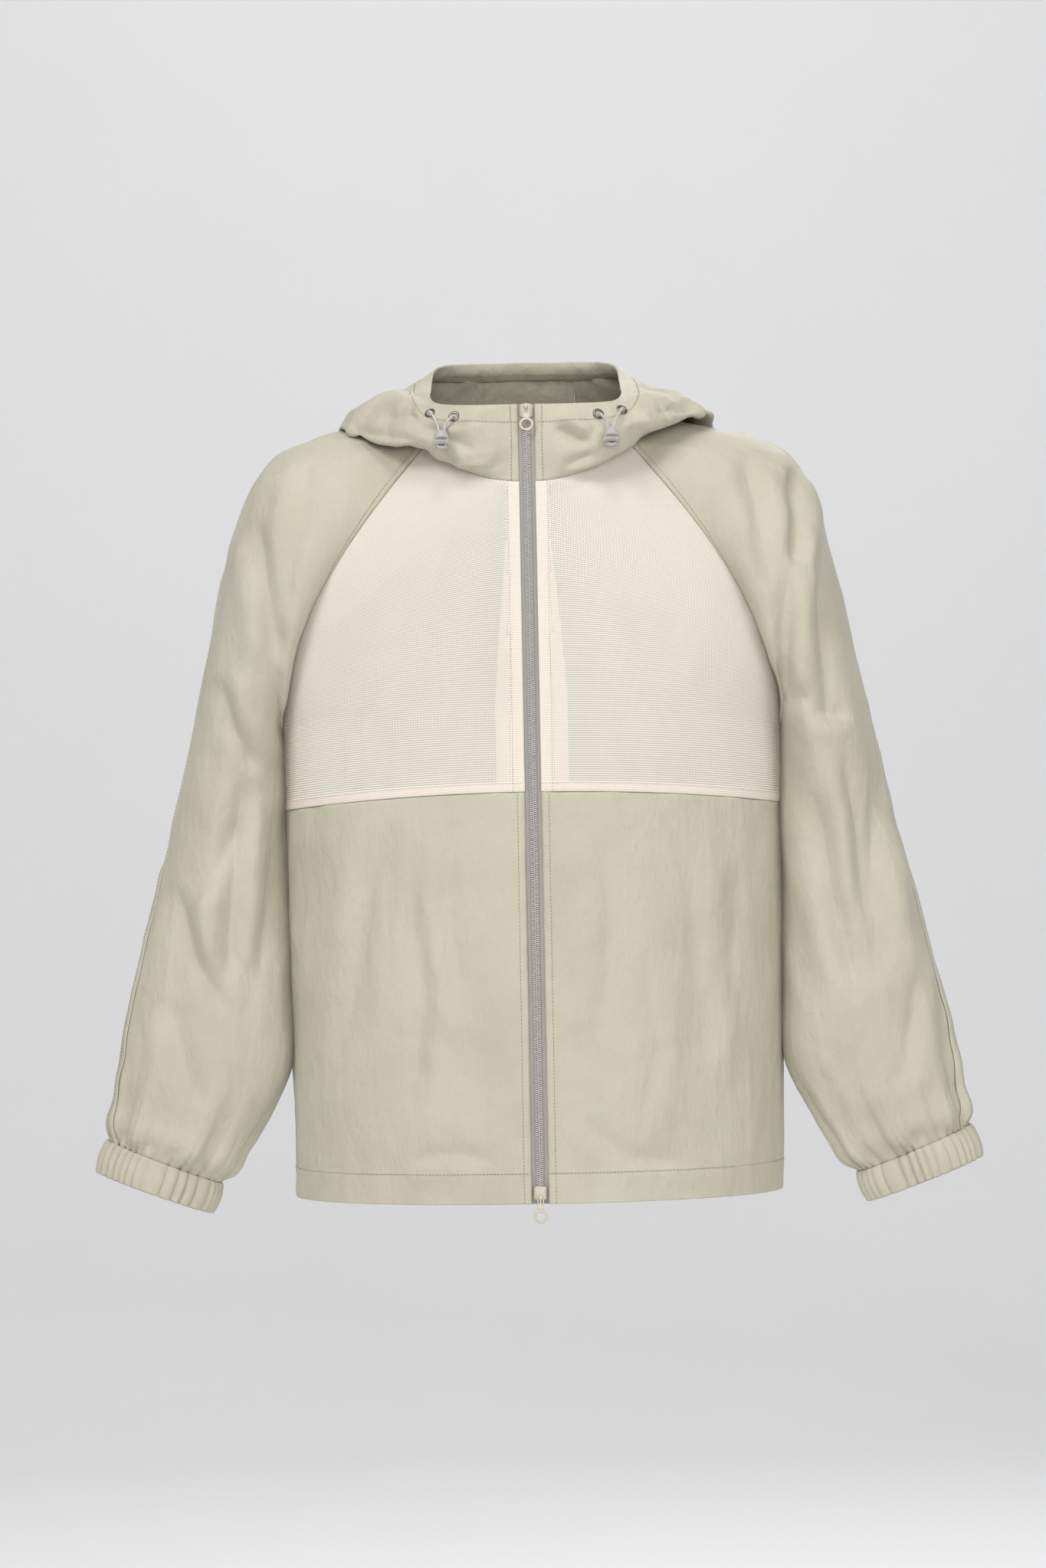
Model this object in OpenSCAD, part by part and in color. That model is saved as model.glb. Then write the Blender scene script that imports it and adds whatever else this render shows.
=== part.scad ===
// Light hooded zip jacket with mesh chest panels, as worn, hood down.
// Millimetres. X to the wearer's left, Y to the back, Z up. The origin is the hook's seat in the hang loop.
// In the names, left and right are as seen from the front.

/* [Torso] */
// Height of the front neck seam above the hem
neck_front_h = 577; // [565:1:585]
// Height of the back neck seam above the hem
neck_back_h = 631; // [622:1:640]
// Half width at the chest, under the arms
chest_half_w = 204; // [195:1:215]
// Half width at the hem
hem_half_w = 198; // [188:1:204]
// Height of the underarm point above the hem
underarm_h = 385; // [370:1:400]
// Height of the mesh panels' lower seam at the zip
mesh_front_h = 328; // [310:1:345]
// Height of the mesh panels' lower seam at the side seam
mesh_side_h = 316; // [300:1:335]
// How full the body stands, as the pull of its curves at the zip and the side seam
fullness = 1.8; // [1.5:0.05:2.0]

/* [Fabric] */
// Thickness of the shell fabric, seams included
shell_t = 0.8; // [0.6:0.1:1]
// Thickness of facings, bags and tapes
lining_t = 0.6; // [0.4:0.1:0.8]
// Height of the hood's rim casing
rim_h = 15; // [12:0.5:18]
// Thickness of the cuff elastic
elastic_t = 1.2; // [0.8:0.1:1.6]

/* [Zip] */
// Height of the zip's top end above the hem
zip_top_h = 639; // [630:1:645]
// Distance from the zip's centre line to each fabric edge
zip_edge = 6.5; // [6:0.1:8]
// Width of one tape
tape_w = 15; // [13:0.5:17]
// Width of one row of coil
coil_w = 2.6; // [2.2:0.1:2.6]
// Thickness of the coil
coil_t = 2.1; // [1.8:0.1:2.2]
// Width of a slider
slider_w = 9.8; // [9.4:0.1:10.4]
// Length of a slider
slider_l = 11; // [10:0.5:12]
// Outer diameter of a pull's ring
pull_ring_d = 11.5; // [10:0.5:12]
// Hole in a pull's ring
pull_hole_d = 6.8; // [6:0.1:7]
// Reach of a pull from its hinge to its far end
pull_l = 20.25; // [18:0.25:24]

/* [Cord] */
// Diameter of the elastic cord
cord_d = 1.9; // [1.6:0.1:2]
// Outer diameter of an eyelet
eyelet_d = 9.3; // [8.5:0.1:10]
// Hole in an eyelet
eyelet_hole_d = 4.8; // [4.4:0.1:5]
// Diameter of a cord stopper
stopper_d = 14; // [13:0.5:15]
// Length of a cord stopper
stopper_l = 13; // [12:0.5:14]

/* [Pockets] */
// Height of the pocket mouth's lower end above the hem
pocket_low_h = 102; // [90:1:115]
// Height of the pocket mouth's upper end above the hem
pocket_top_h = 249; // [235:1:260]

/* [Hidden] */
$fn = 48;

shell_colour = [0.79, 0.77, 0.70];
mesh_colour = [0.93, 0.91, 0.87];
tape_colour = [0.66, 0.65, 0.67];
coil_colour = [0.74, 0.73, 0.74];
slider_colour = [0.76, 0.73, 0.64];
eyelet_colour = [0.36, 0.34, 0.34];
cord_colour = [0.82, 0.79, 0.77];
stopper_colour = [0.78, 0.79, 0.77];
elastic_colour = [0.90, 0.89, 0.86];

// The hook's seat in the hang loop, which is the part's origin
hook_seat = [0, 74, 619];

// The zip's straight line leans back from the hem to the collar
zip_hem_y = -129.5;
zip_slope = 0.0457;
zip_lean = atan(zip_slope);
zip_length = zip_top_h / cos(zip_lean);
tape_gap = 0.6;
tape_near = 0.3;

// Share of the height at which the mesh starts, and at which the raglan seam leaves the side seam
mesh_v = mesh_front_h / neck_front_h;
underarm_v = 0.68;

underarm = [chest_half_w, 0, underarm_h];
neck_front = [83, -50, 610];
neck_back = [76, 45, 636];
raglan_front = [underarm, [204, -72, 458], [148, -88, 532], neck_front];
raglan_back = [underarm, [204, 80, 470], [140, 98, 565], neck_back];
neck_side = [neck_front, [86, -25, 622], [86, 5, 630], [83, 28, 634], neck_back];
// Depth of the back's centre line at equal steps of height, hem to nape
back_y = [115, 119, 124, 122, 85];

// Sleeve rings, shoulder to wrist: outer x and z, inner x and z, half depth, centre y
sleeve_rings = [
    [162, 622, 204.5, 381, 84, 0],
    [222, 588, 206, 375, 78, 0],
    [262, 452, 206, 340, 70, -2],
    [279, 371, 205.3, 290, 60, -5],
    [299, 283, 204.6, 240, 55, -8],
    [318, 215, 204, 180, 51, -12],
    [337, 139, 203, 110, 47, -18],
    [349, 68, 232, 52, 36, -24],
    [350, 50, 261, 14, 28, -28]
];
cuff_end_ring = [359, 25, 269, -9, 28, -32];
last_ring = len(sleeve_rings);
// Share of the ring's half turn that the raglan seam takes before the neckline begins
raglan_share = 0.8;
// How far the over-arm seam has turned to the front at the wrist, in degrees
overarm_turn = 34;

// Hood outline from the zip, station by station to the centre back: the under layer's middle,
// the fold, the outer layer's middle and the rim. The profile starts at the neck seam.
hood_under = [
    [6.5, -102.5, 592], [42, -101, 588], [74, -86, 602], [94, -60, 615], [112, -32, 629],
    [120, 5, 638], [116, 64, 622], [88, 110, 560], [38, 124, 530], [0, 128, 522]
];
hood_fold = [
    [6.5, -101.8, 608], [44, -106, 600], [80, -94, 616], [108, -74, 620], [138, -38, 628],
    [153, 2, 631], [146, 72, 602], [112, 128, 500], [42, 148, 440], [0, 152, 430]
];
hood_outer = [
    [6.5, -101, 624], [43, -103, 620], [78, -92, 627], [100, -70, 640], [118, -36, 648],
    [131, 2, 649], [136, 82, 634], [112, 152, 585], [46, 180, 535], [0, 186, 530]
];
hood_rim = [
    [6.5, -100.3, 639], [41, -98, 639], [69, -87, 641], [77, -64, 648], [77, -34, 656],
    [77, 5, 665], [75, 45, 679], [65, 75, 686], [40, 90, 688], [0, 96, 689]
];
hood_last = len(hood_rim) - 1;
gusset_station = 8;

// Eyelets on the rim casing: station along the rim, and distance below the rim's edge
inner_eyelet_station = 1.45;
outer_eyelet_station = 2.1;
eyelet_drop = 10;

// Free cord of one side, from the inner eyelet down through the stopper and back to the outer eyelet
cord_route = [
    [57.2, -94.8, 629], [58, -98.6, 630.6], [59.5, -102, 630.2], [62.2, -103.8, 627.2], [64.4, -103.4, 623.8],
    [65.4, -103.6, 621.2], [65.6, -105.7, 617.6], [64.9, -108.2, 613.2], [64.2, -111.2, 608.2],
    [65, -112.7, 605.8], [68, -113.2, 604.8], [71, -112.7, 605.8], [71.8, -111.2, 608.2],
    [71.1, -108.2, 613.2], [70.4, -105.7, 617.6], [70.6, -103.6, 621.2], [71.6, -101.5, 625],
    [73.8, -98.5, 629.5], [76.4, -94.6, 633.6], [77.9, -91.2, 635.2], [76.4, -87, 632.6]
];
stopper_centre = [68, -109, 612];
stopper_tilt = 30;
slot_w = 10.2;
slot_h = 2.6;

top_slider_h = 633.5;
bottom_slider_h = 8.5;

// Slider: front and back plates, edge flanges, wedge, and the bridge with its hole for the pull's bar
front_plate_t = 1.3;
back_plate_t = 1;
plate_gap = 0.6;
front_plate_y = tape_near - coil_t - plate_gap - front_plate_t;
flange_w = 0.8;
wedge_w = 0.7;
wedge_l = 3.5;
bridge_w = 2.2;
bridge_d = 4;
bridge_y = front_plate_y - 1.4;
bridge_hole_d = 1.7;
pull_offset = 3.6;

// Pull: cross bar, two arms, tab and ring
bar_d = 1.56;
bar_l = 5.2;
pull_t = 1.2;
arm_w = 1;
arm_l = 6;
tab_start = 5;

// Neck tape's edges below the neck seam, and the hang loop's size and sewn ends
neck_tape_low = 12;
neck_tape_high = 2;
hang_loop_w = 8;
hang_loop_t = 1;
hang_loop_half = 26;
hang_loop_reach = 9;
hang_loop_sag = 4;
hang_loop_ends = [0, 82.5, 619];

// Pocket bag: where it starts on the panel, in shares of the row and the height, and how far it stands in
bag_u = 0.5;
bag_side_u = 0.985;
bag_low_v = 0.135;
bag_top_v = 0.475;
bag_depth = 13;
bag_clear = 2;

// Eyelet: flange rise, barrel wall, and the back flange
flange_rise = 0.9;
barrel_t = 0.5;
back_flange_w = 1.4;
back_flange_y = -0.6;

function lerp(a, b, t) = a + (b - a) * t;
function unit(v) = v / norm(v);
function bezier(p, t) =
    pow(1 - t, 3) * p[0] + 3 * pow(1 - t, 2) * t * p[1] + 3 * (1 - t) * t * t * p[2] + t * t * t * p[3];
function hermite(a, b, ma, mb, t) =
    (2 * t * t * t - 3 * t * t + 1) * a + (t * t * t - 2 * t * t + t) * ma
    + (3 * t * t - 2 * t * t * t) * b + (t * t * t - t * t) * mb;

// A smooth curve through a list of points or numbers, t counting the points
function through(p, t) =
    let (last = len(p) - 1, i = min(floor(t), last - 1), f = t - i)
    let (a = p[i], b = p[i + 1])
    let (before = i > 0 ? p[i - 1] : 2 * a - b, after = i < last - 1 ? p[i + 2] : 2 * b - a)
    hermite(a, b, (b - before) / 2, (after - a) / 2, f);

function zip_y(z) = zip_hem_y + zip_slope * z;
function side_x(z) = lerp(hem_half_w, chest_half_w, z / underarm_h);
function side_z(v) = v < mesh_v ? mesh_side_h * v / mesh_v
    : lerp(mesh_side_h, underarm_h, (v - mesh_v) / (underarm_v - mesh_v));
function armhole_share(v) = max(0, (v - underarm_v) / (1 - underarm_v));
function side_edge(seam, v) = v < underarm_v ? [side_x(side_z(v)), 0, side_z(v)] : bezier(seam, armhole_share(v));

// One row of a body panel, from the centre line to the side seam or the raglan seam
function body_row(centre, edge, u, w) =
    let (d = edge - centre)
    hermite(centre, edge, [lerp(fullness, 1.3, w) * d.x, 0, 0],
        [0.9 * w * d.x, lerp(fullness, 1.2, w) * d.y, 1.2 * w * d.z], u);
function front_point(u, v) =
    body_row([zip_edge, zip_y(v * neck_front_h), v * neck_front_h], side_edge(raglan_front, v), u, armhole_share(v));
function back_point(u, v) =
    body_row([0, through(back_y, v * (len(back_y) - 1)), v * neck_back_h], side_edge(raglan_back, v), u,
        armhole_share(v));

// The raglan seam and the side of the neckline, as one loop that starts at the underarm
function armhole_point(turn) =
    let (half = turn <= 180 ? turn / 180 : 2 - turn / 180, seam = turn <= 180 ? raglan_front : raglan_back)
    half <= raglan_share ? bezier(seam, half / raglan_share)
    : through(neck_side, 2 + (turn <= 180 ? -2 : 2) * (1 - (half - raglan_share) / (1 - raglan_share)));
function oval_point(r, turn) =
    let (outer = [r[0], r[5], r[1]], inner = [r[2], r[5], r[3]])
    lerp(inner, outer, (1 - cos(turn)) / 2) - [0, r[4] * sin(turn), 0];
function sleeve_point(along, turn) =
    through(concat([armhole_point(turn)], [for (r = sleeve_rings) oval_point(r, turn)]), along);
function overarm(along) = 180 - overarm_turn * pow(along / last_ring, 1.5);

// The neck seam, by the hood's stations
function neck_point(s) =
    s <= 3 ? front_point(s / 3, 1)
    : s <= 6 ? through(neck_side, (s - 3) / 3 * 4)
    : back_point((hood_last - s) / (hood_last - 6), 1);
function hood_profile(s) =
    [neck_point(s), through(hood_under, s), through(hood_fold, s), through(hood_outer, s), through(hood_rim, s)];
function hood_point(s, v) = through(hood_profile(s), v);
// Profile value at a distance below the rim's edge
function below_rim(s, drop) =
    let (p = hood_profile(s)) 4 - drop / norm(p[4] - p[3]);
function hood_normal(s, v) =
    unit(cross(hood_point(s + 0.05, v) - hood_point(s - 0.05, v), hood_point(s, v + 0.05) - hood_point(s, v - 0.05)));

// A grid of points, and the unit normals at them
function grid_of(f, columns, rows) = [for (i = rows) [for (j = columns) f(j, i)]];
function steps(a, b, n) = [for (i = [0:n]) lerp(a, b, i / n)];
function grid_normals(g, closed) =
    let (rows = len(g), cols = len(g[0]))
    [for (i = [0:rows - 1]) [for (j = [0:cols - 1])
        let (right = closed ? (j + 1) % cols : min(j + 1, cols - 1))
        let (left = closed ? (j + cols - 1) % cols : max(j - 1, 0))
        unit(cross(g[i][right] - g[i][left], g[min(i + 1, rows - 1)][j] - g[max(i - 1, 0)][j]))]];

// A thin closed solid between two offsets of a grid: columns run to the right and rows up, seen from outside
module cloth(g, near, far, closed = false) {
    rows = len(g);
    cols = len(g[0]);
    n = grid_normals(g, closed);
    layer = rows * cols;
    points = [for (off = [near, far]) for (i = [0:rows - 1]) for (j = [0:cols - 1]) g[i][j] + off * n[i][j]];
    wraps = closed ? cols - 1 : cols - 2;
    function at(k, i, j) = k * layer + i * cols + (j % cols);
    function two(a, b, c, d) = [[a, b, c], [a, c, d]];
    faces = [
        for (i = [0:rows - 2]) for (j = [0:wraps])
            each two(at(1, i, j), at(1, i + 1, j), at(1, i + 1, j + 1), at(1, i, j + 1)),
        for (i = [0:rows - 2]) for (j = [0:wraps])
            each two(at(0, i, j), at(0, i, j + 1), at(0, i + 1, j + 1), at(0, i + 1, j)),
        for (j = [0:wraps]) each two(at(0, 0, j), at(1, 0, j), at(1, 0, j + 1), at(0, 0, j + 1)),
        for (j = [0:wraps])
            each two(at(0, rows - 1, j), at(0, rows - 1, j + 1), at(1, rows - 1, j + 1), at(1, rows - 1, j)),
        if (!closed) for (i = [0:rows - 2])
            each two(at(0, i, 0), at(0, i + 1, 0), at(1, i + 1, 0), at(1, i, 0)),
        if (!closed) for (i = [0:rows - 2])
            each two(at(0, i, cols - 1), at(1, i, cols - 1), at(1, i + 1, cols - 1), at(0, i + 1, cols - 1))
    ];
    polyhedron(points, faces);
}

// A cord with round sections along a list of points; side is a direction that the cord never runs in
module tube(p, d, side, sides = 8) {
    last = len(p) - 1;
    rings = [for (i = [0:last])
        let (t = unit(p[min(i + 1, last)] - p[max(i - 1, 0)]), a = unit(cross(t, side)), b = cross(t, a))
        [for (k = [0:sides - 1]) p[i] + d / 2 * (cos(k * 360 / sides) * a + sin(k * 360 / sides) * b)]];
    points = [for (r = rings) each r];
    walls = [for (i = [0:last - 1]) for (k = [0:sides - 1])
        let (m = (k + 1) % sides)
        each [[i * sides + k, i * sides + m, (i + 1) * sides + m],
            [i * sides + k, (i + 1) * sides + m, (i + 1) * sides + k]]];
    polyhedron(points, concat(walls,
        [[for (k = [sides - 1:-1:0]) k], [for (k = [0:sides - 1]) last * sides + k]]));
}

module place() translate(-hook_seat) children();
module mirrored(flip) if (flip) mirror([1, 0, 0]) children(); else children();
module along_zip(h) translate([0, zip_y(h), h]) rotate([-zip_lean, 0, 0]) children();
// Turns +Z to a direction
module facing(n) rotate([0, acos(n.z), atan2(n.y, n.x)]) children();

// How far the pocket mouth's edge stands back from the side seam, as a share of the row
function mouth_share(h) =
    let (t = (h - pocket_low_h) / (pocket_top_h - pocket_low_h))
    t <= 0 || t >= 1 ? 0 : 0.07 * (1 - pow(2 * t - 1, 4));

module front_panel(flip) color(shell_colour) place() mirrored(flip)
    cloth([for (v = steps(0, mesh_v, 24))
        [for (u = steps(0, 1 - mouth_share(side_z(v)), 12)) front_point(u, v)]], 0, shell_t);
module left_front_panel() front_panel(true);
module right_front_panel() front_panel(false);

module mesh_yoke(flip) color(mesh_colour) place() mirrored(flip)
    cloth(grid_of(function (u, v) front_point(u, v), steps(0, 1, 12), steps(mesh_v, 1, 18)), 0, shell_t);
module left_mesh_yoke() mesh_yoke(true);
module right_mesh_yoke() mesh_yoke(false);

module back_panel() color(shell_colour) place()
    cloth([for (v = steps(0, 1, 24)) [for (u = steps(1, -1, 24))
        let (p = back_point(abs(u), v)) u < 0 ? [-p.x, p.y, p.z] : p]], 0, shell_t);

module sleeve_front(flip) color(shell_colour) place() mirrored(flip)
    cloth([for (a = steps(last_ring, 0, 27)) [for (t = steps(0, 1, 9)) sleeve_point(a, t * overarm(a))]], 0, shell_t);
module sleeve_back(flip) color(shell_colour) place() mirrored(flip)
    cloth([for (a = steps(last_ring, 0, 27)) [for (t = steps(0, 1, 11))
        sleeve_point(a, lerp(overarm(a), 360, t))]], 0, shell_t);
module left_sleeve_front() sleeve_front(true);
module right_sleeve_front() sleeve_front(false);
module left_sleeve_back() sleeve_back(true);
module right_sleeve_back() sleeve_back(false);

function cuff_grid(low, high) =
    [for (t = [low, high]) [for (k = [0:23])
        lerp(oval_point(cuff_end_ring, k * 15), oval_point(sleeve_rings[last_ring - 1], k * 15), t)]];
module cuff(flip) color(shell_colour) place() mirrored(flip) cloth(cuff_grid(0, 1), 0, 1, true);
module cuff_elastic(flip) color(elastic_colour) place() mirrored(flip)
    cloth(cuff_grid(0.1, 0.9), -0.3 - elastic_t, -0.3, true);
module left_cuff() cuff(true);
module right_cuff() cuff(false);
module left_cuff_elastic() cuff_elastic(true);
module right_cuff_elastic() cuff_elastic(false);

module hood_side(flip) color(shell_colour) place() mirrored(flip)
    cloth(grid_of(function (s, v) hood_point(s, v), steps(0, gusset_station, 24), steps(0, 4, 16)), 0, shell_t);
module hood_left() hood_side(true);
module hood_right() hood_side(false);
module hood_centre() color(shell_colour) place()
    cloth([for (v = steps(0, 4, 16)) [for (s = steps(-1, 1, 8))
        let (p = hood_point(hood_last - abs(s), v)) s > 0 ? [-p.x, p.y, p.z] : p]], 0, shell_t);

// The rim's turned-in layer; the cord runs between it and the hood
module hood_rim_casing() color(shell_colour) place() for (flip = [false, true]) mirrored(flip)
    cloth([for (t = [1, 0.1]) [for (s = steps(0.15, hood_last - (flip ? 0.001 : 0), 36))
        hood_point(s, below_rim(s, t * rim_h))]], -0.9 - cord_d - lining_t, -0.9 - cord_d);

module neck_tape() color(tape_colour) place() for (flip = [false, true]) mirrored(flip)
    cloth([for (drop = [neck_tape_low, neck_tape_high]) [for (s = steps(0.3, hood_last, 24))
        neck_point(s) - [0, 0, drop]]], -1.4, -1.4 + lining_t);

module hang_loop() color(tape_colour) place()
    cloth([for (h = [0, hang_loop_w]) [for (t = steps(-1, 1, 12))
        hang_loop_ends + [t * hang_loop_half, -hang_loop_reach * cos(90 * t), h - hang_loop_sag * cos(90 * t)]]],
        -hang_loop_t / 2, hang_loop_t / 2);

module zip_facing(flip) color(mesh_colour) place() mirrored(flip)
    cloth([for (v = steps(0, 1, 24)) [for (u = [0.002, 0.04, 0.08]) front_point(u, v)]], -1.2 - lining_t, -1.2);
module left_zip_facing() zip_facing(true);
module right_zip_facing() zip_facing(false);

module zip_tape(flip) color(tape_colour) place() mirrored(flip) along_zip(0)
    translate([tape_gap, tape_near, 0]) cube([tape_w, lining_t, zip_length]);
module left_zip_tape() zip_tape(true);
module right_zip_tape() zip_tape(false);

// The inner edges stay clear of a slider's wedge
module zip_coil(flip) color(coil_colour) place() mirrored(flip) along_zip(0)
    translate([tape_gap + 0.1 + coil_t / 2, tape_near - coil_t / 2 - 0.05, 3])
    linear_extrude(zip_length - 8) {
        circle(d = coil_t);
        translate([coil_w - coil_t, 0]) circle(d = coil_t);
        translate([0, -coil_t / 2]) square([coil_w - coil_t, coil_t]);
    }
module left_zip_coil() zip_coil(true);
module right_zip_coil() zip_coil(false);

module zip_top_stops() color(coil_colour) place() for (side = [-1, 1]) along_zip(0)
    translate([side * (tape_gap + 0.1 + coil_w / 2) - coil_w / 2, tape_near - 0.05 - coil_t, zip_length - 4.5])
    cube([coil_w, coil_t, 3.2]);

// A slider in the zip's own frame: two plates joined by the wedge, edge flanges and the bridge for the pull.
// end is +1 where the wedge is at the top and -1 where it is at the bottom
module slider(end) {
    half_l = slider_l / 2;
    translate([-slider_w / 2, front_plate_y, -half_l]) cube([slider_w, front_plate_t, slider_l]);
    translate([-slider_w / 2, tape_near + lining_t + 0.3, -half_l]) cube([slider_w, back_plate_t, slider_l]);
    for (side = [-1, 1])
        translate([side * (slider_w - flange_w) / 2 - flange_w / 2, front_plate_y, -half_l])
            cube([flange_w, -front_plate_y - 0.1, slider_l]);
    translate([-wedge_w / 2, front_plate_y, end > 0 ? half_l - wedge_l : -half_l])
        cube([wedge_w, 1.5 - front_plate_y, wedge_l]);
    difference() {
        union() {
            translate([-bridge_w / 2, front_plate_y - 2.6, end * pull_offset - bridge_d / 2])
                cube([bridge_w, 3, bridge_d]);
            translate([-bridge_w / 2, bridge_y, end * pull_offset])
                rotate([0, 90, 0]) cylinder(d = bridge_d, h = bridge_w);
        }
        translate([-bridge_w, bridge_y, end * pull_offset])
            rotate([0, 90, 0]) cylinder(d = bridge_hole_d, h = 2 * bridge_w);
    }
}
// A pull that hangs from its cross bar, the bar's axis on X at the origin
module pull() {
    ring_z = pull_ring_d / 2 - pull_l;
    tab_l = -tab_start - ring_z - pull_hole_d / 2;
    translate([-bar_l / 2, 0, 0]) rotate([0, 90, 0]) cylinder(d = bar_d, h = bar_l);
    for (side = [-1, 1])
        translate([side * (bar_l - arm_w) / 2 - arm_w / 2, -pull_t / 2, -arm_l]) cube([arm_w, pull_t, arm_l]);
    difference() {
        union() {
            translate([-bar_l / 2, -pull_t / 2, ring_z + pull_hole_d / 2]) cube([bar_l, pull_t, tab_l]);
            translate([0, pull_t / 2, ring_z]) rotate([90, 0, 0]) cylinder(d = pull_ring_d, h = pull_t);
        }
        translate([0, pull_t, ring_z]) rotate([90, 0, 0]) cylinder(d = pull_hole_d, h = 2 * pull_t);
    }
}
module top_slider() color(slider_colour) place() along_zip(top_slider_h) slider(1);
module bottom_slider() color(slider_colour) place() along_zip(bottom_slider_h) slider(-1);
module top_pull() color(slider_colour) place() along_zip(top_slider_h) translate([0, bridge_y, pull_offset]) pull();
module bottom_pull() color(slider_colour) place() along_zip(bottom_slider_h)
    translate([0, bridge_y, -pull_offset]) pull();

// A pocket bag's inner layer, hollow behind the front panel and sewn flat round its edge
function bag_point(a, b) =
    let (u = lerp(bag_u, bag_side_u, a), v = lerp(bag_low_v, bag_top_v, b), p = front_point(u, v))
    let (n = unit(cross(front_point(u + 0.01, v) - front_point(u - 0.01, v), [0, 0, 1])))
    let (swell = sqrt(sin(180 * b) * sin(90 * min(1, 1.6 * a)) * min(1, 8 * (1 - a))))
    p - (bag_clear + bag_depth * swell) * n;
module pocket_bag(flip) color(mesh_colour) place() mirrored(flip)
    cloth(grid_of(function (a, b) bag_point(a, b), steps(0, 1, 10), steps(0, 1, 12)), -lining_t, 0);
module left_pocket_bag() pocket_bag(true);
module right_pocket_bag() pocket_bag(false);

// A rolled metal eyelet: front flange, barrel and back flange
module eyelet(flip, station) color(eyelet_colour) place() mirrored(flip) {
    v = below_rim(station, eyelet_drop);
    translate(hood_point(station, v)) facing(hood_normal(station, v)) rotate_extrude() {
        translate([eyelet_hole_d / 2, shell_t]) square([(eyelet_d - eyelet_hole_d) / 2, flange_rise]);
        translate([eyelet_hole_d / 2, back_flange_y]) square([barrel_t, shell_t + 1]);
        translate([eyelet_hole_d / 2, back_flange_y]) square([back_flange_w, barrel_t]);
    }
}
module left_inner_eyelet() eyelet(true, inner_eyelet_station);
module left_outer_eyelet() eyelet(true, outer_eyelet_station);
module right_inner_eyelet() eyelet(false, inner_eyelet_station);
module right_outer_eyelet() eyelet(false, outer_eyelet_station);

// The held cord inside the rim casing: round the back, and from each inner eyelet to the zip
function casing_point(s) =
    let (v = below_rim(s, eyelet_drop)) hood_point(s, v) - (0.5 + cord_d / 2) * hood_normal(s, v);
module hood_drawcord() color(cord_colour) place() {
    half = [for (s = steps(outer_eyelet_station, hood_last - 0.12, 30)) casing_point(s)];
    tube(concat(half, [for (i = [30:-1:0]) [-half[i].x, half[i].y, half[i].z]]), cord_d, [0, 0, 1]);
    for (flip = [false, true]) mirrored(flip)
        tube([for (s = steps(0.5, inner_eyelet_station, 6)) casing_point(s)], cord_d, [0, 0, 1]);
}

loop_normal = [0, cos(stopper_tilt), -sin(stopper_tilt)];
module cord_loop(flip) color(cord_colour) place() mirrored(flip)
    tube([for (t = steps(0, len(cord_route) - 1, 54)) through(cord_route, t)], cord_d, loop_normal);
module left_cord_loop() cord_loop(true);
module right_cord_loop() cord_loop(false);

// A moulded friction stopper: a bell with one wide slot for both strands
module cord_stopper(flip) color(stopper_colour) place() mirrored(flip) translate(stopper_centre)
    rotate([-stopper_tilt, 0, 0]) difference() {
        rotate_extrude() polygon([
            [0, -stopper_l / 2], [stopper_d / 2 - 1, -stopper_l / 2], [stopper_d / 2, -stopper_l / 2 + 1],
            [stopper_d / 2, -stopper_l / 2 + 2.5], [stopper_d / 2 - 1, -stopper_l / 2 + 3.5],
            [stopper_d / 2 - 1, 1], [stopper_d / 2 - 2, stopper_l / 2 - 1.5], [4, stopper_l / 2], [0, stopper_l / 2]
        ]);
        translate([-slot_w / 2 + slot_h / 2, 0, -stopper_l]) linear_extrude(2 * stopper_l) {
            circle(d = slot_h);
            translate([slot_w - slot_h, 0]) circle(d = slot_h);
            translate([0, -slot_h / 2]) square([slot_w - slot_h, slot_h]);
        }
    }
module left_cord_stopper() cord_stopper(true);
module right_cord_stopper() cord_stopper(false);

left_front_panel();
right_front_panel();
left_mesh_yoke();
right_mesh_yoke();
back_panel();
left_sleeve_front();
right_sleeve_front();
left_sleeve_back();
right_sleeve_back();
left_cuff();
right_cuff();
left_cuff_elastic();
right_cuff_elastic();
hood_left();
hood_right();
hood_centre();
hood_rim_casing();
neck_tape();
hang_loop();
left_zip_facing();
right_zip_facing();
left_zip_tape();
right_zip_tape();
left_zip_coil();
right_zip_coil();
zip_top_stops();
top_slider();
top_pull();
bottom_slider();
bottom_pull();
left_pocket_bag();
right_pocket_bag();
left_inner_eyelet();
left_outer_eyelet();
right_inner_eyelet();
right_outer_eyelet();
hood_drawcord();
left_cord_loop();
right_cord_loop();
left_cord_stopper();
right_cord_stopper();
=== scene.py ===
import math

import bmesh
import bpy
import numpy as np
from mathutils import Matrix, Vector


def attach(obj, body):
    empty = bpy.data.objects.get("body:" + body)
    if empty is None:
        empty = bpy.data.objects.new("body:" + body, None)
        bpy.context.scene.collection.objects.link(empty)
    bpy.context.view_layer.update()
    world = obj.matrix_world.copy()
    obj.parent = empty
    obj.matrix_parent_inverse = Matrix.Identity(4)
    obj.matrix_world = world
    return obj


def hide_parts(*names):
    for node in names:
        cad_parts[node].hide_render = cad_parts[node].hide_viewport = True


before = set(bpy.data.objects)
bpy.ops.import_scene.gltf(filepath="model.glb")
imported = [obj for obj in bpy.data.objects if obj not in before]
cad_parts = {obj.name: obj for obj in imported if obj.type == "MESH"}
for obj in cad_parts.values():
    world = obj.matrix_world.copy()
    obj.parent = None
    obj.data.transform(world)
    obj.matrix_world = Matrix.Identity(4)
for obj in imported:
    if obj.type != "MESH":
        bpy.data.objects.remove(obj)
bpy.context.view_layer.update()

# Metres, in the garment's own frame: z is 0 at the hem, x is 0 at the zip, y is 0 at the side seams.
# Pieces are moved by -HOOK_SEAT into the part's frame. Left and right are as seen from the front.
HOOK_SEAT = np.array([0, 0.074, 0.619])
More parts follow.
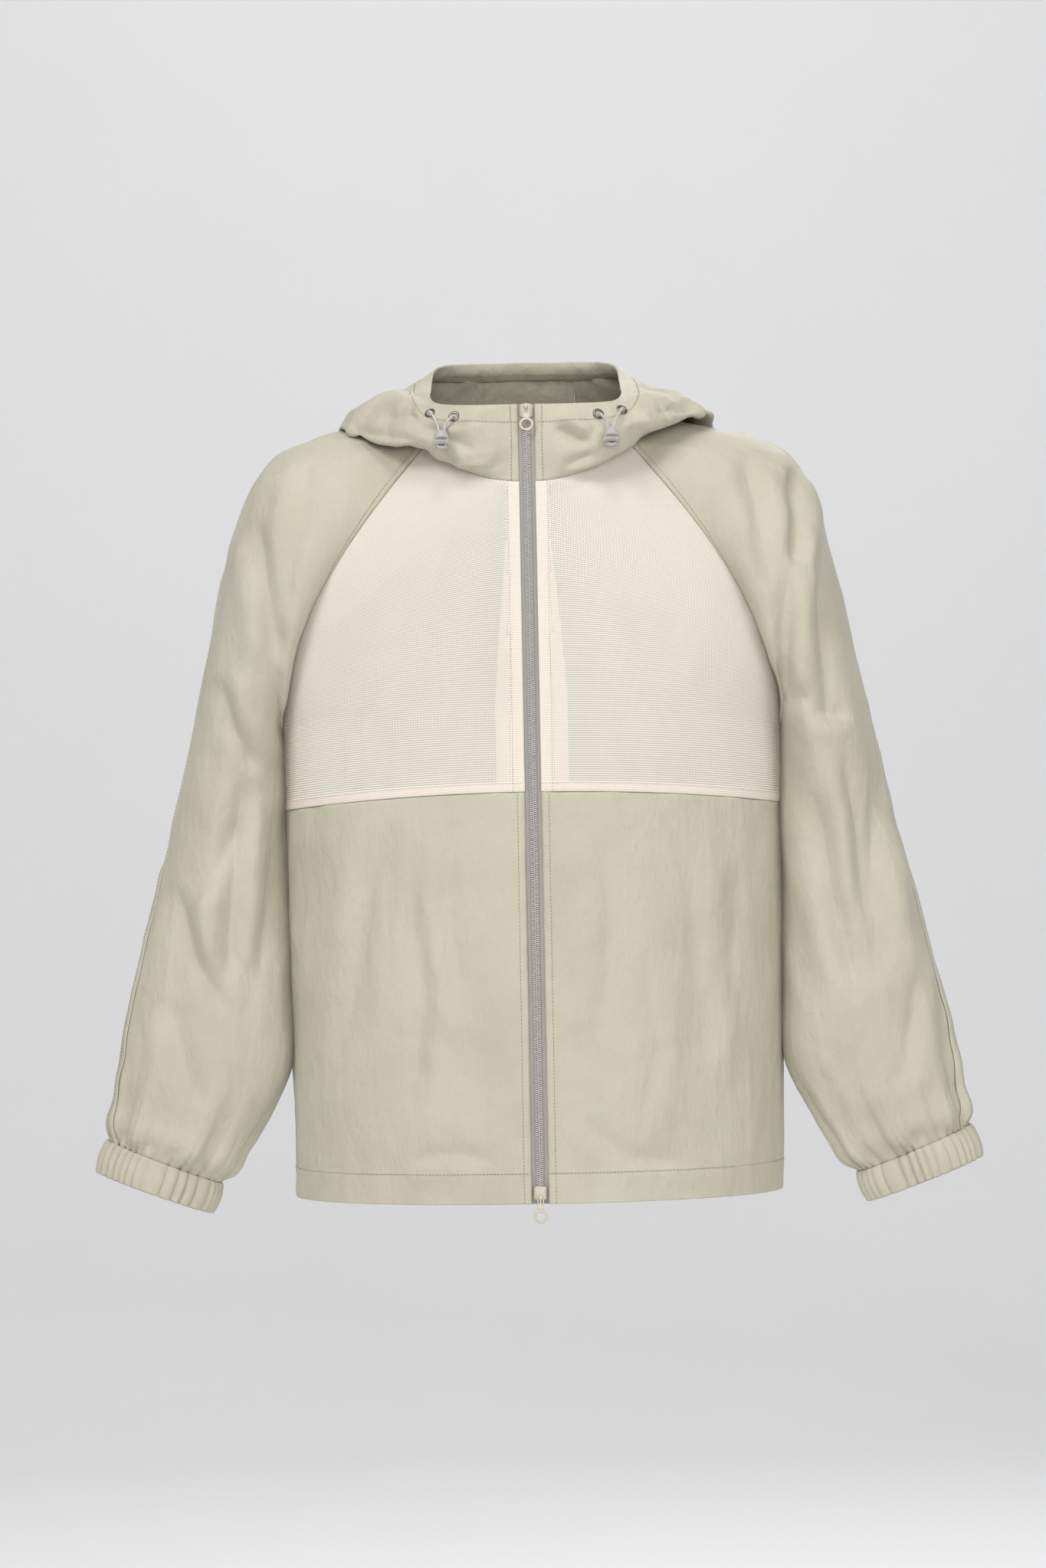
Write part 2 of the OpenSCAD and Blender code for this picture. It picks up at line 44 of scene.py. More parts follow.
NECK_FRONT_H = 0.577
NECK_BACK_H = 0.631
UNDERARM_H = 0.385
MESH_FRONT_H = 0.328
MESH_SIDE_H = 0.316
CHEST_HALF_W = 0.204
HEM_HALF_W = 0.198
FULLNESS = 1.8
ZIP_EDGE = 0.0065
ZIP_HEM_Y = -0.1295
ZIP_SLOPE = 0.0457
ZIP_TOP_H = 0.639
MESH_V = MESH_FRONT_H / NECK_FRONT_H
STRIP_W = 0.0098
UNDERARM_V = 0.68
SIDES = (("left", True), ("right", False))
SHELL_T = 0.0006
CLOTH_LIFT = SHELL_T + 0.0002
CORD_D = 0.0019

RAGLAN_FRONT = np.array(
    [[0.204, 0, 0.385], [0.204, -0.072, 0.458], [0.148, -0.088, 0.532], [0.083, -0.05, 0.61]]
)
RAGLAN_BACK = np.array([[0.204, 0, 0.385], [0.204, 0.08, 0.47], [0.14, 0.098, 0.565], [0.076, 0.045, 0.636]])
NECK_SIDE = np.array(
    [[0.083, -0.05, 0.61], [0.086, -0.025, 0.622], [0.086, 0.005, 0.63], [0.083, 0.028, 0.634],
     [0.076, 0.045, 0.636]]
)
BACK_Y = np.array([[0.115], [0.119], [0.124], [0.122], [0.085]])

# Sleeve rings, shoulder to wrist: outer x and z, inner x and z, half depth, centre y
SLEEVE_RINGS = [
    [0.162, 0.622, 0.2045, 0.381, 0.084, 0.0],
    [0.222, 0.588, 0.206, 0.375, 0.078, 0.0],
    [0.262, 0.452, 0.206, 0.34, 0.07, -0.002],
    [0.279, 0.371, 0.2053, 0.29, 0.06, -0.005],
    [0.299, 0.283, 0.2046, 0.24, 0.055, -0.008],
    [0.318, 0.215, 0.204, 0.18, 0.051, -0.012],
    [0.337, 0.139, 0.203, 0.11, 0.047, -0.018],
    [0.349, 0.068, 0.232, 0.052, 0.036, -0.024],
    [0.35, 0.05, 0.261, 0.014, 0.028, -0.028],
]
CUFF_END_RING = [0.359, 0.025, 0.269, -0.009, 0.028, -0.032]
LAST_RING = len(SLEEVE_RINGS)
RAGLAN_SHARE = 0.8
OVERARM_TURN = math.radians(34)

# Hood outline from the zip, station by station to the centre back
HOOD_UNDER = [
    [0.0065, -0.1025, 0.592], [0.042, -0.101, 0.588], [0.074, -0.086, 0.602], [0.094, -0.06, 0.615],
    [0.112, -0.032, 0.629], [0.12, 0.005, 0.638], [0.116, 0.064, 0.622], [0.088, 0.11, 0.56],
    [0.038, 0.124, 0.53], [0, 0.128, 0.522],
]
HOOD_FOLD = [
    [0.0065, -0.1018, 0.608], [0.044, -0.106, 0.6], [0.08, -0.094, 0.616], [0.108, -0.074, 0.62],
    [0.138, -0.038, 0.628], [0.153, 0.002, 0.631], [0.146, 0.072, 0.602], [0.112, 0.128, 0.5],
    [0.042, 0.148, 0.44], [0, 0.152, 0.43],
]
HOOD_OUTER = [
    [0.0065, -0.101, 0.624], [0.043, -0.103, 0.62], [0.078, -0.092, 0.627], [0.1, -0.07, 0.64],
    [0.118, -0.036, 0.648], [0.131, 0.002, 0.649], [0.136, 0.082, 0.634], [0.112, 0.152, 0.585],
    [0.046, 0.18, 0.535], [0, 0.186, 0.53],
]
HOOD_RIM = [
    [0.0065, -0.1003, 0.639], [0.041, -0.098, 0.639], [0.069, -0.087, 0.641], [0.077, -0.064, 0.648],
    [0.077, -0.034, 0.656], [0.077, 0.005, 0.665], [0.075, 0.045, 0.679], [0.065, 0.075, 0.686],
    [0.04, 0.09, 0.688], [0, 0.096, 0.689],
]
HOOD_LAST = len(HOOD_RIM) - 1
GUSSET_STATION = 8
ZIP_STITCH = 0.0061
SEAM_STITCH = 0.0062
MOUTH_STITCH = 0.0065
MESH_HEM_STITCH = 0.0068
MESH_ZIP_STITCH = 0.0092
RIM_STITCH = 0.0145
CASING_STITCHES = (0.0102, 0.015)
HEM_H = 0.024
HEM_T = 0.0012
SEAM_T = 0.0008
LINING_T = 0.0005
STITCHES = {"khaki": [], "cream": []}
LEFT_SAG = 0.008
RIGHT_SAG = -0.006
SAG_STATION = 3.3
INNER_EYELET = 1.45
OUTER_EYELET = 2.1
EYELET_DROP = 0.01

# The free cord of one side, from the inner eyelet through the stopper and back to the outer eyelet
CORD_ROUTE = np.array([
    [0.0572, -0.0948, 0.629], [0.058, -0.0986, 0.6306], [0.0595, -0.102, 0.6302], [0.0622, -0.1038, 0.6272],
    [0.0644, -0.1034, 0.6238], [0.0654, -0.1036, 0.6212], [0.0656, -0.1057, 0.6176], [0.0649, -0.1082, 0.6132],
    [0.0642, -0.1112, 0.6082], [0.065, -0.1127, 0.6058], [0.068, -0.1132, 0.6048], [0.071, -0.1127, 0.6058],
    [0.0718, -0.1112, 0.6082], [0.0711, -0.1082, 0.6132], [0.0704, -0.1057, 0.6176], [0.0706, -0.1036, 0.6212],
    [0.0716, -0.1015, 0.625], [0.0738, -0.0985, 0.6295], [0.0764, -0.0946, 0.6336], [0.0779, -0.0912, 0.6352],
    [0.0764, -0.087, 0.6326],
])
STOPPER_CENTRE = (0.068, -0.109, 0.612)
STOPPER_TILT = math.radians(30)
TOP_SLIDER_H = 0.6335
BOTTOM_SLIDER_H = 0.0085
FLOOR_H = -1.5
POCKET_LOW_H = 0.102
POCKET_TOP_H = 0.249


# Curves and surfaces


def mix(a, b, t):
    return a + (b - a) * t


def hermite(a, b, ma, mb, t):
    t2, t3 = t * t, t * t * t
    return (2 * t3 - 3 * t2 + 1) * a + (t3 - 2 * t2 + t) * ma + (3 * t2 - 2 * t3) * b + (t3 - t2) * mb


def bezier(p, t):
    t = t[:, None]
    return (1 - t) ** 3 * p[0] + 3 * (1 - t) ** 2 * t * p[1] + 3 * (1 - t) * t * t * p[2] + t**3 * p[3]


def through(p, t):
    """A smooth curve through the points p, one per whole step of t; p may hold its own points for each t."""
    p = np.asarray(p, float)
    if p.ndim == 2:
        p = np.broadcast_to(p[:, None, :], (len(p), len(t), p.shape[1]))
    last = len(p) - 1
    each = np.arange(len(t))
    i = np.clip(np.floor(t).astype(int), 0, last - 1)
    a, b = p[i, each], p[i + 1, each]
    before = np.where((i > 0)[:, None], p[np.maximum(i - 1, 0), each], 2 * a - b)
    after = np.where((i < last - 1)[:, None], p[np.minimum(i + 2, last), each], 2 * b - a)
    return hermite(a, b, (b - before) / 2, (after - a) / 2, (t - i)[:, None])


def smooth(t):
    t = np.clip(t, 0, 1)
    return t * t * (3 - 2 * t)


def side_edge(seam, v):
    low = np.minimum(v, UNDERARM_V)
    z = np.where(
        low < MESH_V, MESH_SIDE_H * low / MESH_V,
        mix(MESH_SIDE_H, UNDERARM_H, (low - MESH_V) / (UNDERARM_V - MESH_V)),
    )
    side = np.stack([mix(HEM_HALF_W, CHEST_HALF_W, z / UNDERARM_H), 0 * z, z], 1)
    share = np.clip((v - UNDERARM_V) / (1 - UNDERARM_V), 0, 1)
    return np.where((v < UNDERARM_V)[:, None], side, bezier(seam, share)), share


def body_row(centre, edge, u, w):
    d = edge - centre
    start = np.stack([mix(FULLNESS, 1.3, w) * d[:, 0], 0 * w, 0 * w], 1)
    end = np.stack([0.9 * w * d[:, 0], mix(FULLNESS, 1.2, w) * d[:, 1], 1.2 * w * d[:, 2]], 1)
    return hermite(centre, edge, start, end, u[:, None])


def front_point(u, v):
    edge, w = side_edge(RAGLAN_FRONT, v)
    z = v * NECK_FRONT_H
    return body_row(np.stack([0 * z + ZIP_EDGE, ZIP_HEM_Y + ZIP_SLOPE * z, z], 1), edge, u, w)


def back_point(u, v):
    edge, w = side_edge(RAGLAN_BACK, v)
    y = through(BACK_Y, v * (len(BACK_Y) - 1))[:, 0]
    return body_row(np.stack([0 * v, y, v * NECK_BACK_H], 1), edge, u, w)


def armhole_point(turn):
    half = np.where(turn <= math.pi, turn, 2 * math.pi - turn) / math.pi
    along = np.clip(half / RAGLAN_SHARE, 0, 1)
    front = (turn <= math.pi)[:, None]
    seam = np.where(front, bezier(RAGLAN_FRONT, along), bezier(RAGLAN_BACK, along))
    rest = 1 - np.clip((half - RAGLAN_SHARE) / (1 - RAGLAN_SHARE), 0, 1)
    neck = through(NECK_SIDE, 2 + np.where(turn <= math.pi, -2, 2) * rest)
    return np.where((half <= RAGLAN_SHARE)[:, None], seam, neck)


def oval_point(r, turn):
    share = (1 - np.cos(turn)) / 2
    return np.stack([mix(r[2], r[0], share), r[5] - r[4] * np.sin(turn), mix(r[3], r[1], share)], 1)


def sleeve_point(along, turn):
    return through(np.stack([armhole_point(turn)] + [oval_point(r, turn) for r in SLEEVE_RINGS]), along)


def overarm(along):
    return math.pi - OVERARM_TURN * (np.clip(along, 0, LAST_RING) / LAST_RING) ** 1.5


def cuff_point(down, turn):
    return mix(oval_point(SLEEVE_RINGS[-1], turn), oval_point(CUFF_END_RING, turn), down[:, None])


def sided(points, left):
    """The points, with those where left is true moved across to the left side."""
    return np.where(left[:, None], points * [-1, 1, 1], points)


def neck_point(s):
    front = front_point(np.clip(s / 3, 0, 1), 0 * s + 1)
    side = through(NECK_SIDE, np.clip((s - 3) / 3 * 4, 0, 4))
    back = back_point(np.clip((HOOD_LAST - s) / (HOOD_LAST - 6), 0, 1), 0 * s + 1)
    return np.where((s <= 3)[:, None], front, np.where((s <= 6)[:, None], side, back))


def hood_profile(s, sag=0.0):
    rows = np.stack(
        [neck_point(s)] + [through(row, s) for row in (HOOD_UNDER, HOOD_FOLD, HOOD_OUTER, HOOD_RIM)]
    )
    rows[2, :, 2] -= sag * np.exp(-(((s - SAG_STATION) / 1.5) ** 2))
    return rows


def hood_point(s, v, sag=0.0):
    return through(hood_profile(s, sag), v)


def from_zip_to_zip(first, count):
    """Stations once round the neck, below 0 on the right and above 0 on the left."""
    half = np.linspace(first, HOOD_LAST, count)
    return np.concatenate([-half, half[::-1][1:]])


def below_rim(s, drop):
    rows = hood_profile(s)
    return 4 - drop / np.linalg.norm(rows[4] - rows[3], axis=1)


# Wrinkles


def lattice_noise(p, seed):
    """Smooth noise from -1 to 1 at points measured in cells."""
    cell = np.floor(p).astype(np.int64)
    f = p - cell
    f = f * f * f * (f * (f * 6 - 15) + 10)
    total = np.zeros(len(p))
    for corner in range(8):
        step = np.array([corner & 1, corner >> 1 & 1, corner >> 2 & 1])
        c = cell + step
        h = (c[:, 0] * 374761393 + c[:, 1] * 668265263 + c[:, 2] * 2147483647 + seed * 974634777) & 0xFFFFFFFF
        h = ((h ^ (h >> 13)) * 1274126177) & 0xFFFFFFFF
        value = ((h ^ (h >> 16)) & 0xFFFF) / 32767.5 - 1
        total += value * np.prod(np.where(step == 1, f, 1 - f), axis=1)
    return total


def crinkle(p, seed, size, stretch):
    """Soft creased noise: ridges about size apart, drawn out along stretch."""
    q = p / (np.array(stretch) * size)
    bend = np.stack([lattice_noise(q * 0.7 + 9, seed + k) for k in range(3)], 1)
    ridge = 1 - 2 * np.abs(lattice_noise(q + 0.8 * bend, seed + 5))
    return 0.6 * ridge + 0.4 * lattice_noise(q * 1.9 + bend, seed + 7)


def fold_lines(p, folds):
    """Listed folds seen from the front or back: each runs through (x, z) points, with width and depth."""
    total = np.zeros(len(p))
    xz = p[:, [0, 2]]
    for width, depth, lean, *points in folds:
        best = np.full(len(p), 1e9)
        signed = np.zeros(len(p))
        share = np.zeros(len(p))
        points = np.array(points)
        lengths = np.linalg.norm(np.diff(points, axis=0), axis=1)
        run = np.concatenate([[0], np.cumsum(lengths)])
        for k in range(len(lengths)):
            d = points[k + 1] - points[k]
            t = np.clip(((xz - points[k]) @ d) / (d @ d), 0, 1)
            away = xz - points[k] - t[:, None] * d
            distance = np.linalg.norm(away, axis=1)
            near = distance < best
            best = np.where(near, distance, best)
            signed = np.where(near, (d[1] * away[:, 0] - d[0] * away[:, 1]) / lengths[k], signed)
            share = np.where(near, (run[k] + t * lengths[k]) / run[-1], share)
        taper = smooth(np.minimum(share, 1 - share) * 4 + 0.12)
        dip = np.exp(-((best / width) ** 1.5))
        off_crest = ((signed - lean * 1.7 * width) / (1.3 * width)) ** 2
        crest = np.exp(-off_crest - (np.maximum(best - 3 * width, 0) / width) ** 2)
        total += depth * taper * (0.55 * crest * np.exp(-((best / (3 * width)) ** 4)) - dip)
    return total


FRONT_FOLDS = [
    (0.012, 0.004, 1, (-0.116, 0.326), (-0.140, 0.210), (-0.161, 0.095)),
    (0.009, 0.0035, 1, (-0.064, 0.318), (-0.072, 0.24), (-0.060, 0.15)),
    (0.010, 0.003, -1, (-0.10, 0.26), (-0.09, 0.16), (-0.105, 0.06)),
    (0.009, 0.0035, 1, (-0.11, 0.029), (-0.09, 0.038), (-0.068, 0.041), (-0.048, 0.037), (-0.03, 0.028)),
    (0.010, 0.003, 1, (0.055, 0.315), (0.06, 0.22), (0.048, 0.12)),
    (0.012, 0.0035, -1, (0.118, 0.305), (0.130, 0.20), (0.142, 0.09)),
    (0.010, 0.003, 1, (0.165, 0.28), (0.158, 0.19), (0.166, 0.12)),
    (0.009, 0.0025, -1, (0.085, 0.20), (0.095, 0.12), (0.08, 0.05)),
    (0.008, 0.003, 1, (0.03, 0.07), (0.07, 0.035), (0.12, 0.03)),
]
BACK_FOLDS = [
    (0.014, 0.005, 1, (-0.09, 0.40), (-0.10, 0.24), (-0.085, 0.07)),
    (0.012, 0.004, -1, (-0.03, 0.36), (-0.02, 0.2), (-0.035, 0.08)),
    (0.014, 0.005, -1, (0.085, 0.42), (0.10, 0.24), (0.09, 0.06)),
    (0.012, 0.004, 1, (0.035, 0.33), (0.028, 0.19), (0.04, 0.09)),
    (0.012, 0.004, 1, (0.15, 0.40), (0.155, 0.26), (0.15, 0.12)),
    (0.012, 0.004, -1, (-0.15, 0.41), (-0.152, 0.27), (-0.146, 0.11)),
]
LEFT_SLEEVE_FOLDS = [
    (0.010, 0.008, 1, (-0.221, 0.554), (-0.211, 0.489), (-0.202, 0.430)),
    (0.009, 0.007, -1, (-0.257, 0.429), (-0.244, 0.390), (-0.222, 0.345)),
    (0.011, 0.008, 1, (-0.232, 0.36), (-0.245, 0.25), (-0.25, 0.16)),
    (0.009, 0.007, -1, (-0.292, 0.26), (-0.276, 0.20), (-0.25, 0.15)),
    (0.008, 0.006, 1, (-0.21, 0.33), (-0.215, 0.25), (-0.225, 0.17)),
    (0.010, 0.004, 1, (-0.30, 0.17), (-0.285, 0.11), (-0.27, 0.075)),
    (0.009, 0.004, 1, (-0.175, 0.60), (-0.19, 0.53), (-0.20, 0.47)),
    (0.008, 0.0035, -1, (-0.235, 0.315), (-0.262, 0.262), (-0.283, 0.238)),
]
RIGHT_SLEEVE_FOLDS = [
    (0.0065, 0.012, -1, (0.215, 0.590), (0.221, 0.551), (0.215, 0.505)),
    (0.010, 0.009, 1, (0.2385, 0.511), (0.236, 0.46), (0.240, 0.41), (0.242, 0.372)),
    (0.009, 0.006, -1, (0.212, 0.51), (0.207, 0.475), (0.203, 0.428), (0.2, 0.38)),
    (0.012, 0.008, -1, (0.283, 0.343), (0.276, 0.25), (0.278, 0.16)),
    (0.010, 0.008, 1, (0.226, 0.33), (0.24, 0.24), (0.262, 0.15)),
    (0.008, 0.006, 1, (0.25, 0.36), (0.262, 0.30), (0.268, 0.22)),
    (0.009, 0.004, 1, (0.175, 0.60), (0.186, 0.54), (0.196, 0.48)),
    (0.009, 0.004, -1, (0.31, 0.18), (0.30, 0.12), (0.29, 0.075)),
    (0.009, 0.005, 1, (0.215, 0.41), (0.232, 0.39), (0.262, 0.385)),
]
LEFT_HOOD_FOLDS = [
    (0.006, 0.005, 1, (-0.102, 0.6605), (-0.085, 0.65), (-0.073, 0.643)),
    (0.007, 0.006, -1, (-0.126, 0.633), (-0.094, 0.635), (-0.067, 0.615), (-0.04, 0.601)),
    (0.006, 0.004, 1, (-0.141, 0.624), (-0.111, 0.617), (-0.086, 0.611)),
]
RIGHT_HOOD_FOLDS = [
    (0.0055, 0.008, -1, (0.02, 0.621), (0.03, 0.617), (0.042, 0.611), (0.054, 0.609)),
    (0.006, 0.005, 1, (0.027, 0.586), (0.042, 0.592), (0.056, 0.598)),
    (0.007, 0.005, 1, (0.104, 0.63), (0.12, 0.638), (0.14, 0.634)),
]
SLEEVE_BACK_FOLDS = [
    (0.013, 0.006, side, (side * 0.21, 0.55), (side * 0.225, 0.43), (side * 0.24, 0.33)) for side in (-1, 1)
] + [
    (0.012, 0.005, -side, (side * 0.25, 0.33), (side * 0.27, 0.2), (side * 0.28, 0.1)) for side in (-1, 1)
]


def outward(points, closed=False):
    """Unit normals of a grid of points, out of its face."""
    if closed:
        ring = points[:, :-1]
        across = np.roll(ring, -1, axis=1) - np.roll(ring, 1, axis=1)
        across = np.concatenate([across, across[:, :1]], axis=1)
    else:
        across = np.gradient(points, axis=1)
    n = np.cross(across, np.gradient(points, axis=0))
    return n / np.maximum(np.linalg.norm(n, axis=2, keepdims=True), 1e-12)


# Finishes


def tone(red, green, blue):
    """A colour from its 0 to 255 values on a screen."""
    values = [c / 255 for c in (red, green, blue)]
    return tuple(c / 12.92 if c <= 0.04045 else ((c + 0.055) / 1.055) ** 2.4 for c in values) + (1,)


class Wire:
    """A socket whose sums are written as plain arithmetic."""

    def __init__(self, finish, socket):
        self.finish = finish
        self.socket = socket

    def sum(self, operation, *values):
        return self.finish.node("ShaderNodeMath", dict(enumerate(values)), operation=operation)

    def __add__(self, other):
        return self.sum("ADD", self, other)

    def __radd__(self, other):
        return self.sum("ADD", other, self)

    def __sub__(self, other):
        return self.sum("SUBTRACT", self, other)

    def __rsub__(self, other):
        return self.sum("SUBTRACT", other, self)

    def __mul__(self, other):
        return self.sum("MULTIPLY", self, other)

    def __rmul__(self, other):
        return self.sum("MULTIPLY", other, self)

    def __truediv__(self, other):
        return self.sum("DIVIDE", self, other)

    def of(self, operation, *others):
        return self.sum(operation, self, *others)


class Finish:
    """A material, built from nodes."""

    def __init__(self, name, **constants):
        self.material = bpy.data.materials.new(name)
        self.material.use_nodes = True
        self.tree = self.material.node_tree
        self.tree.nodes.clear()
        self.shader = self.tree.nodes.new("ShaderNodeBsdfPrincipled")
        self.output = self.tree.nodes.new("ShaderNodeOutputMaterial")
        self.tree.links.new(self.shader.outputs[0], self.output.inputs[0])
        for key, value in constants.items():
            self.shader.inputs[key.replace("_", " ").title().replace("Ior", "IOR")].default_value = value

    def node(self, kind, inputs=None, output=0, **settings):
        made = self.tree.nodes.new(kind)
        stops = settings.pop("stops", None)
        for key, value in settings.items():
            setattr(made, key, value)
        if stops:
            ramp = made.color_ramp
            while len(ramp.elements) < len(stops):
                ramp.elements.new(1)
            for element, (position, colour) in zip(ramp.elements, stops):
                element.position = position
                element.color = colour
        for key, value in (inputs or {}).items():
            if isinstance(value, Wire):
                self.tree.links.new(value.socket, made.inputs[key])
            else:
                made.inputs[key].default_value = value
        return Wire(self, made.outputs[output])

    def set(self, name, wire):
        self.tree.links.new(wire.socket, self.shader.inputs[name])

    def place(self, name="Object"):
        return self.node("ShaderNodeTexCoord", output=name)

    def scaled(self, vector, x, y, z, turn=0.0):
        return self.node(
            "ShaderNodeMapping", {"Vector": vector, "Scale": (x, y, z), "Rotation": (0, 0, turn)},
        )

    def cloud(self, vector, scale, detail=2.0, roughness=0.5, output="Fac"):
        return self.node(
            "ShaderNodeTexNoise",
            {"Vector": vector, "Scale": scale, "Detail": detail, "Roughness": roughness},
            output=output,
        )

    def part(self, vector, axis):
        return self.node("ShaderNodeSeparateXYZ", {0: vector}, output=axis)

    def attribute(self, name):
        return self.node("ShaderNodeAttribute", attribute_name=name, output="Fac")

    def band(self, value, low, high):
        """1 between low and high, 0 outside."""
        return value.of("GREATER_THAN", low) * value.of("LESS_THAN", high)

    def bump(self, *layers):
        """Each layer is a height wire with its depth in metres."""
        normal = None
        for height, depth in layers:
            inputs = {"Height": height, "Distance": depth, "Strength": 1.0}
            if normal:
                inputs["Normal"] = normal
            normal = self.node("ShaderNodeBump", inputs)
        self.set("Normal", normal)

    def blend(self, factor, a, b):
        return self.node(
            "ShaderNodeMix", {0: factor, 6: a, 7: b}, output=2, data_type="RGBA",
        )


def nylon(name, base, dark, light, warm):
    """Light plain-woven nylon: fine weave, soft creases from packing, and a sewn groove beside each seam,
    darkened in colour by painted shade.
    """
    f = Finish(name, roughness=0.62, specular_ior_level=0.35, sheen_weight=0.18, sheen_roughness=0.4)
    spot = f.place()
    cut = f.place("UV")
    patch = f.cloud(spot, 16, 3)
    drift = f.cloud(f.scaled(spot, 1.0, 1.0, 0.5), 7, 1)
    thread = f.cloud(f.scaled(cut, 900, 2600, 1), 1.0, 2)
    seam = f.attribute("seam")
    seam_groove_and_shade = f.band(seam, 0.0, 0.0009)
    colour = f.node(
        "ShaderNodeValToRGB", {0: patch * 0.7 + thread * 0.3},
        stops=[(0.3, dark), (0.5, base), (0.72, light)],
    )
    warmed = f.blend((drift - 0.3) * 0.9, colour, warm)
    # Painted shade: the colour darkens toward the dark tone along each stitch line, standing in for the shaded
    # groove.
    f.set("Base Color", f.blend(seam_groove_and_shade * 0.4, warmed, dark))
    f.set("Roughness", 0.54 + patch * 0.16)
    weave_u = f.part(cut, "X") * (2 * math.pi / 0.00034)
    weave_v = f.part(cut, "Y") * (2 * math.pi / 0.0003)
    weave = weave_u.of("SINE") * weave_v.of("SINE")
    crease = f.cloud(f.scaled(spot, 1.0, 1.0, 0.55), 46, 4, 0.62)
    fine = f.cloud(f.scaled(spot, 1.0, 1.0, 0.4), 150, 3, 0.6)
    f.bump((crease, 0.0026), (fine, 0.0009), (weave, 0.00003), (seam_groove_and_shade, -0.0003))
    return f.material


def chest_mesh():
    """Warp-knit mesh with staggered diamond holes; the doubled band at a seam has no open holes."""
    f = Finish("chest mesh", roughness=0.7, specular_ior_level=0.25, sheen_weight=0.25, subsurface_weight=0.0)
    cut = f.place("UV")
    across = f.part(cut, "X") * (1 / 0.00135)
    up = f.part(cut, "Y") * (1 / 0.0018)
    # A diamond lattice: the two diagonal distances in cells
    wave = (across * (2 * math.pi)).of("COSINE") + (up * (2 * math.pi)).of("COSINE")
    cells = (across * math.pi).of("COSINE") * (up * math.pi).of("COSINE")
    hole = cells.of("ABSOLUTE")
    open_hole = hole.of("GREATER_THAN", 0.46)
    seam = f.attribute("seam")
    band = seam.of("LESS_THAN", 0.0075)
    covered = f.attribute("doubled").of("MAXIMUM", band)
    f.set("Alpha", 1 - open_hole * (1 - covered))
    grain = f.cloud(f.scaled(cut, 2400, 1400, 1), 1.0, 2)
    base = f.blend(grain, tone(238, 229, 216), tone(252, 246, 236))
    lined = f.blend(covered * 0.7, base, tone(222, 211, 200))
    # Painted shade: holes over the doubled band are filled with a darker brown tone for the shaded hollow
    # behind them.
    f.set("Base Color", f.blend(open_hole * covered * 0.5, lined, tone(186, 168, 150)))
    f.bump((wave * -0.25 + 0.5, 0.00022), (grain, 0.00008))
    return f.material


def knit_facing():
    f = Finish("doubled mesh facing", roughness=0.75, specular_ior_level=0.2, sheen_weight=0.2)
    cut = f.place("UV")
    grain = f.cloud(f.scaled(cut, 900, 700, 1), 1.0, 2)
    f.set("Base Color", f.blend(grain, tone(226, 208, 192), tone(242, 228, 214)))
    f.bump((grain, 0.0002))
    return f.material


def pocket_lining():
    f = Finish("pocket lining", roughness=0.8, specular_ior_level=0.2)
    cut = f.place("UV")
    weave = (f.part(cut, "X") * 9000).of("SINE") * (f.part(cut, "Y") * 9000).of("SINE")
    grain = f.cloud(f.place(), 60, 3)
    f.set("Base Color", f.blend(grain, tone(196, 190, 172), tone(212, 206, 190)))
    f.bump((grain, 0.0006), (weave, 0.00004))
    return f.material


def zip_tape():
    """Polyester tape: lengthwise herringbone ribs."""
    f = Finish("woven zip tape", roughness=0.72, specular_ior_level=0.3, sheen_weight=0.15)
    cut = f.place("UV")
    u, v = f.part(cut, "X"), f.part(cut, "Y")
    ribs = (u * (2 * math.pi / 0.0011)).of("SINE")
    twill = ((v + u.of("PINGPONG", 0.0011) * 1.4) * (2 * math.pi / 0.0006)).of("SINE")
    pick = f.cloud(f.scaled(cut, 1500, 3000, 1), 1.0, 1)
    shade = ribs * 0.12 + twill * 0.16 + pick * 0.5 + 0.25
    share = shade.of("MINIMUM", 1.0).of("MAXIMUM", 0.0)
    f.set("Base Color", f.blend(share, tone(148, 143, 138), tone(184, 179, 171)))
    f.bump((ribs * 0.5 + twill * 0.5, 0.00012), (pick, 0.00005))
    return f.material


def coil_nylon():
    f = Finish(
        "coil monofilament", roughness=0.3, specular_ior_level=0.6, coat_weight=0.3, coat_roughness=0.2,
    )
    drift = f.cloud(f.place(), 220, 2)
    f.set("Base Color", f.blend(drift, tone(172, 168, 164), tone(206, 202, 196)))
    f.set("Roughness", 0.26 + drift * 0.2)
    f.bump((f.cloud(f.place(), 3000, 1), 0.00003))
    return f.material


def enamel(name, base, worn):
    """Sprayed enamel on cast zinc, thin and slightly orange-peeled, duller where fingers rub it."""
    f = Finish(name, coat_weight=0.35, coat_roughness=0.25, specular_ior_level=0.55)
    spot = f.place()
    rub = f.cloud(spot, 340, 3)
    peel = f.cloud(spot, 2600, 1)
    f.set("Base Color", f.blend(rub.of("POWER", 2.0), base, worn))
    f.set("Roughness", 0.34 + rub * 0.22)
    f.bump((peel, 0.00004))
    return f.material


def dark_nickel():
    f = Finish("dark nickel", metallic=1.0, roughness=0.28)
    spot = f.place()
    tarnish = f.cloud(spot, 700, 3)
    f.set("Base Color", f.blend(tarnish, tone(84, 80, 80), tone(150, 146, 144)))
    f.set("Roughness", 0.2 + tarnish * 0.25)
    f.bump((f.cloud(spot, 4000, 1), 0.00002))
    return f.material


def braided_cord():
    """Round elastic cord: a fine braid that shows as crossing diagonals."""
    f = Finish("braided elastic cord", roughness=0.65, sheen_weight=0.2, specular_ior_level=0.3)
    cut = f.place("UV")
    u, v = f.part(cut, "X"), f.part(cut, "Y")
    one = ((u * 8 + v * (1 / 0.0009)) * (2 * math.pi)).of("SINE")
    two = ((u * 8 - v * (1 / 0.0009)) * (2 * math.pi)).of("SINE")
    braid = one.of("MAXIMUM", two)
    f.set("Base Color", f.blend(braid * 0.5 + 0.5, tone(168, 160, 156), tone(214, 208, 204)))
    f.bump((braid, 0.00012))
    return f.material


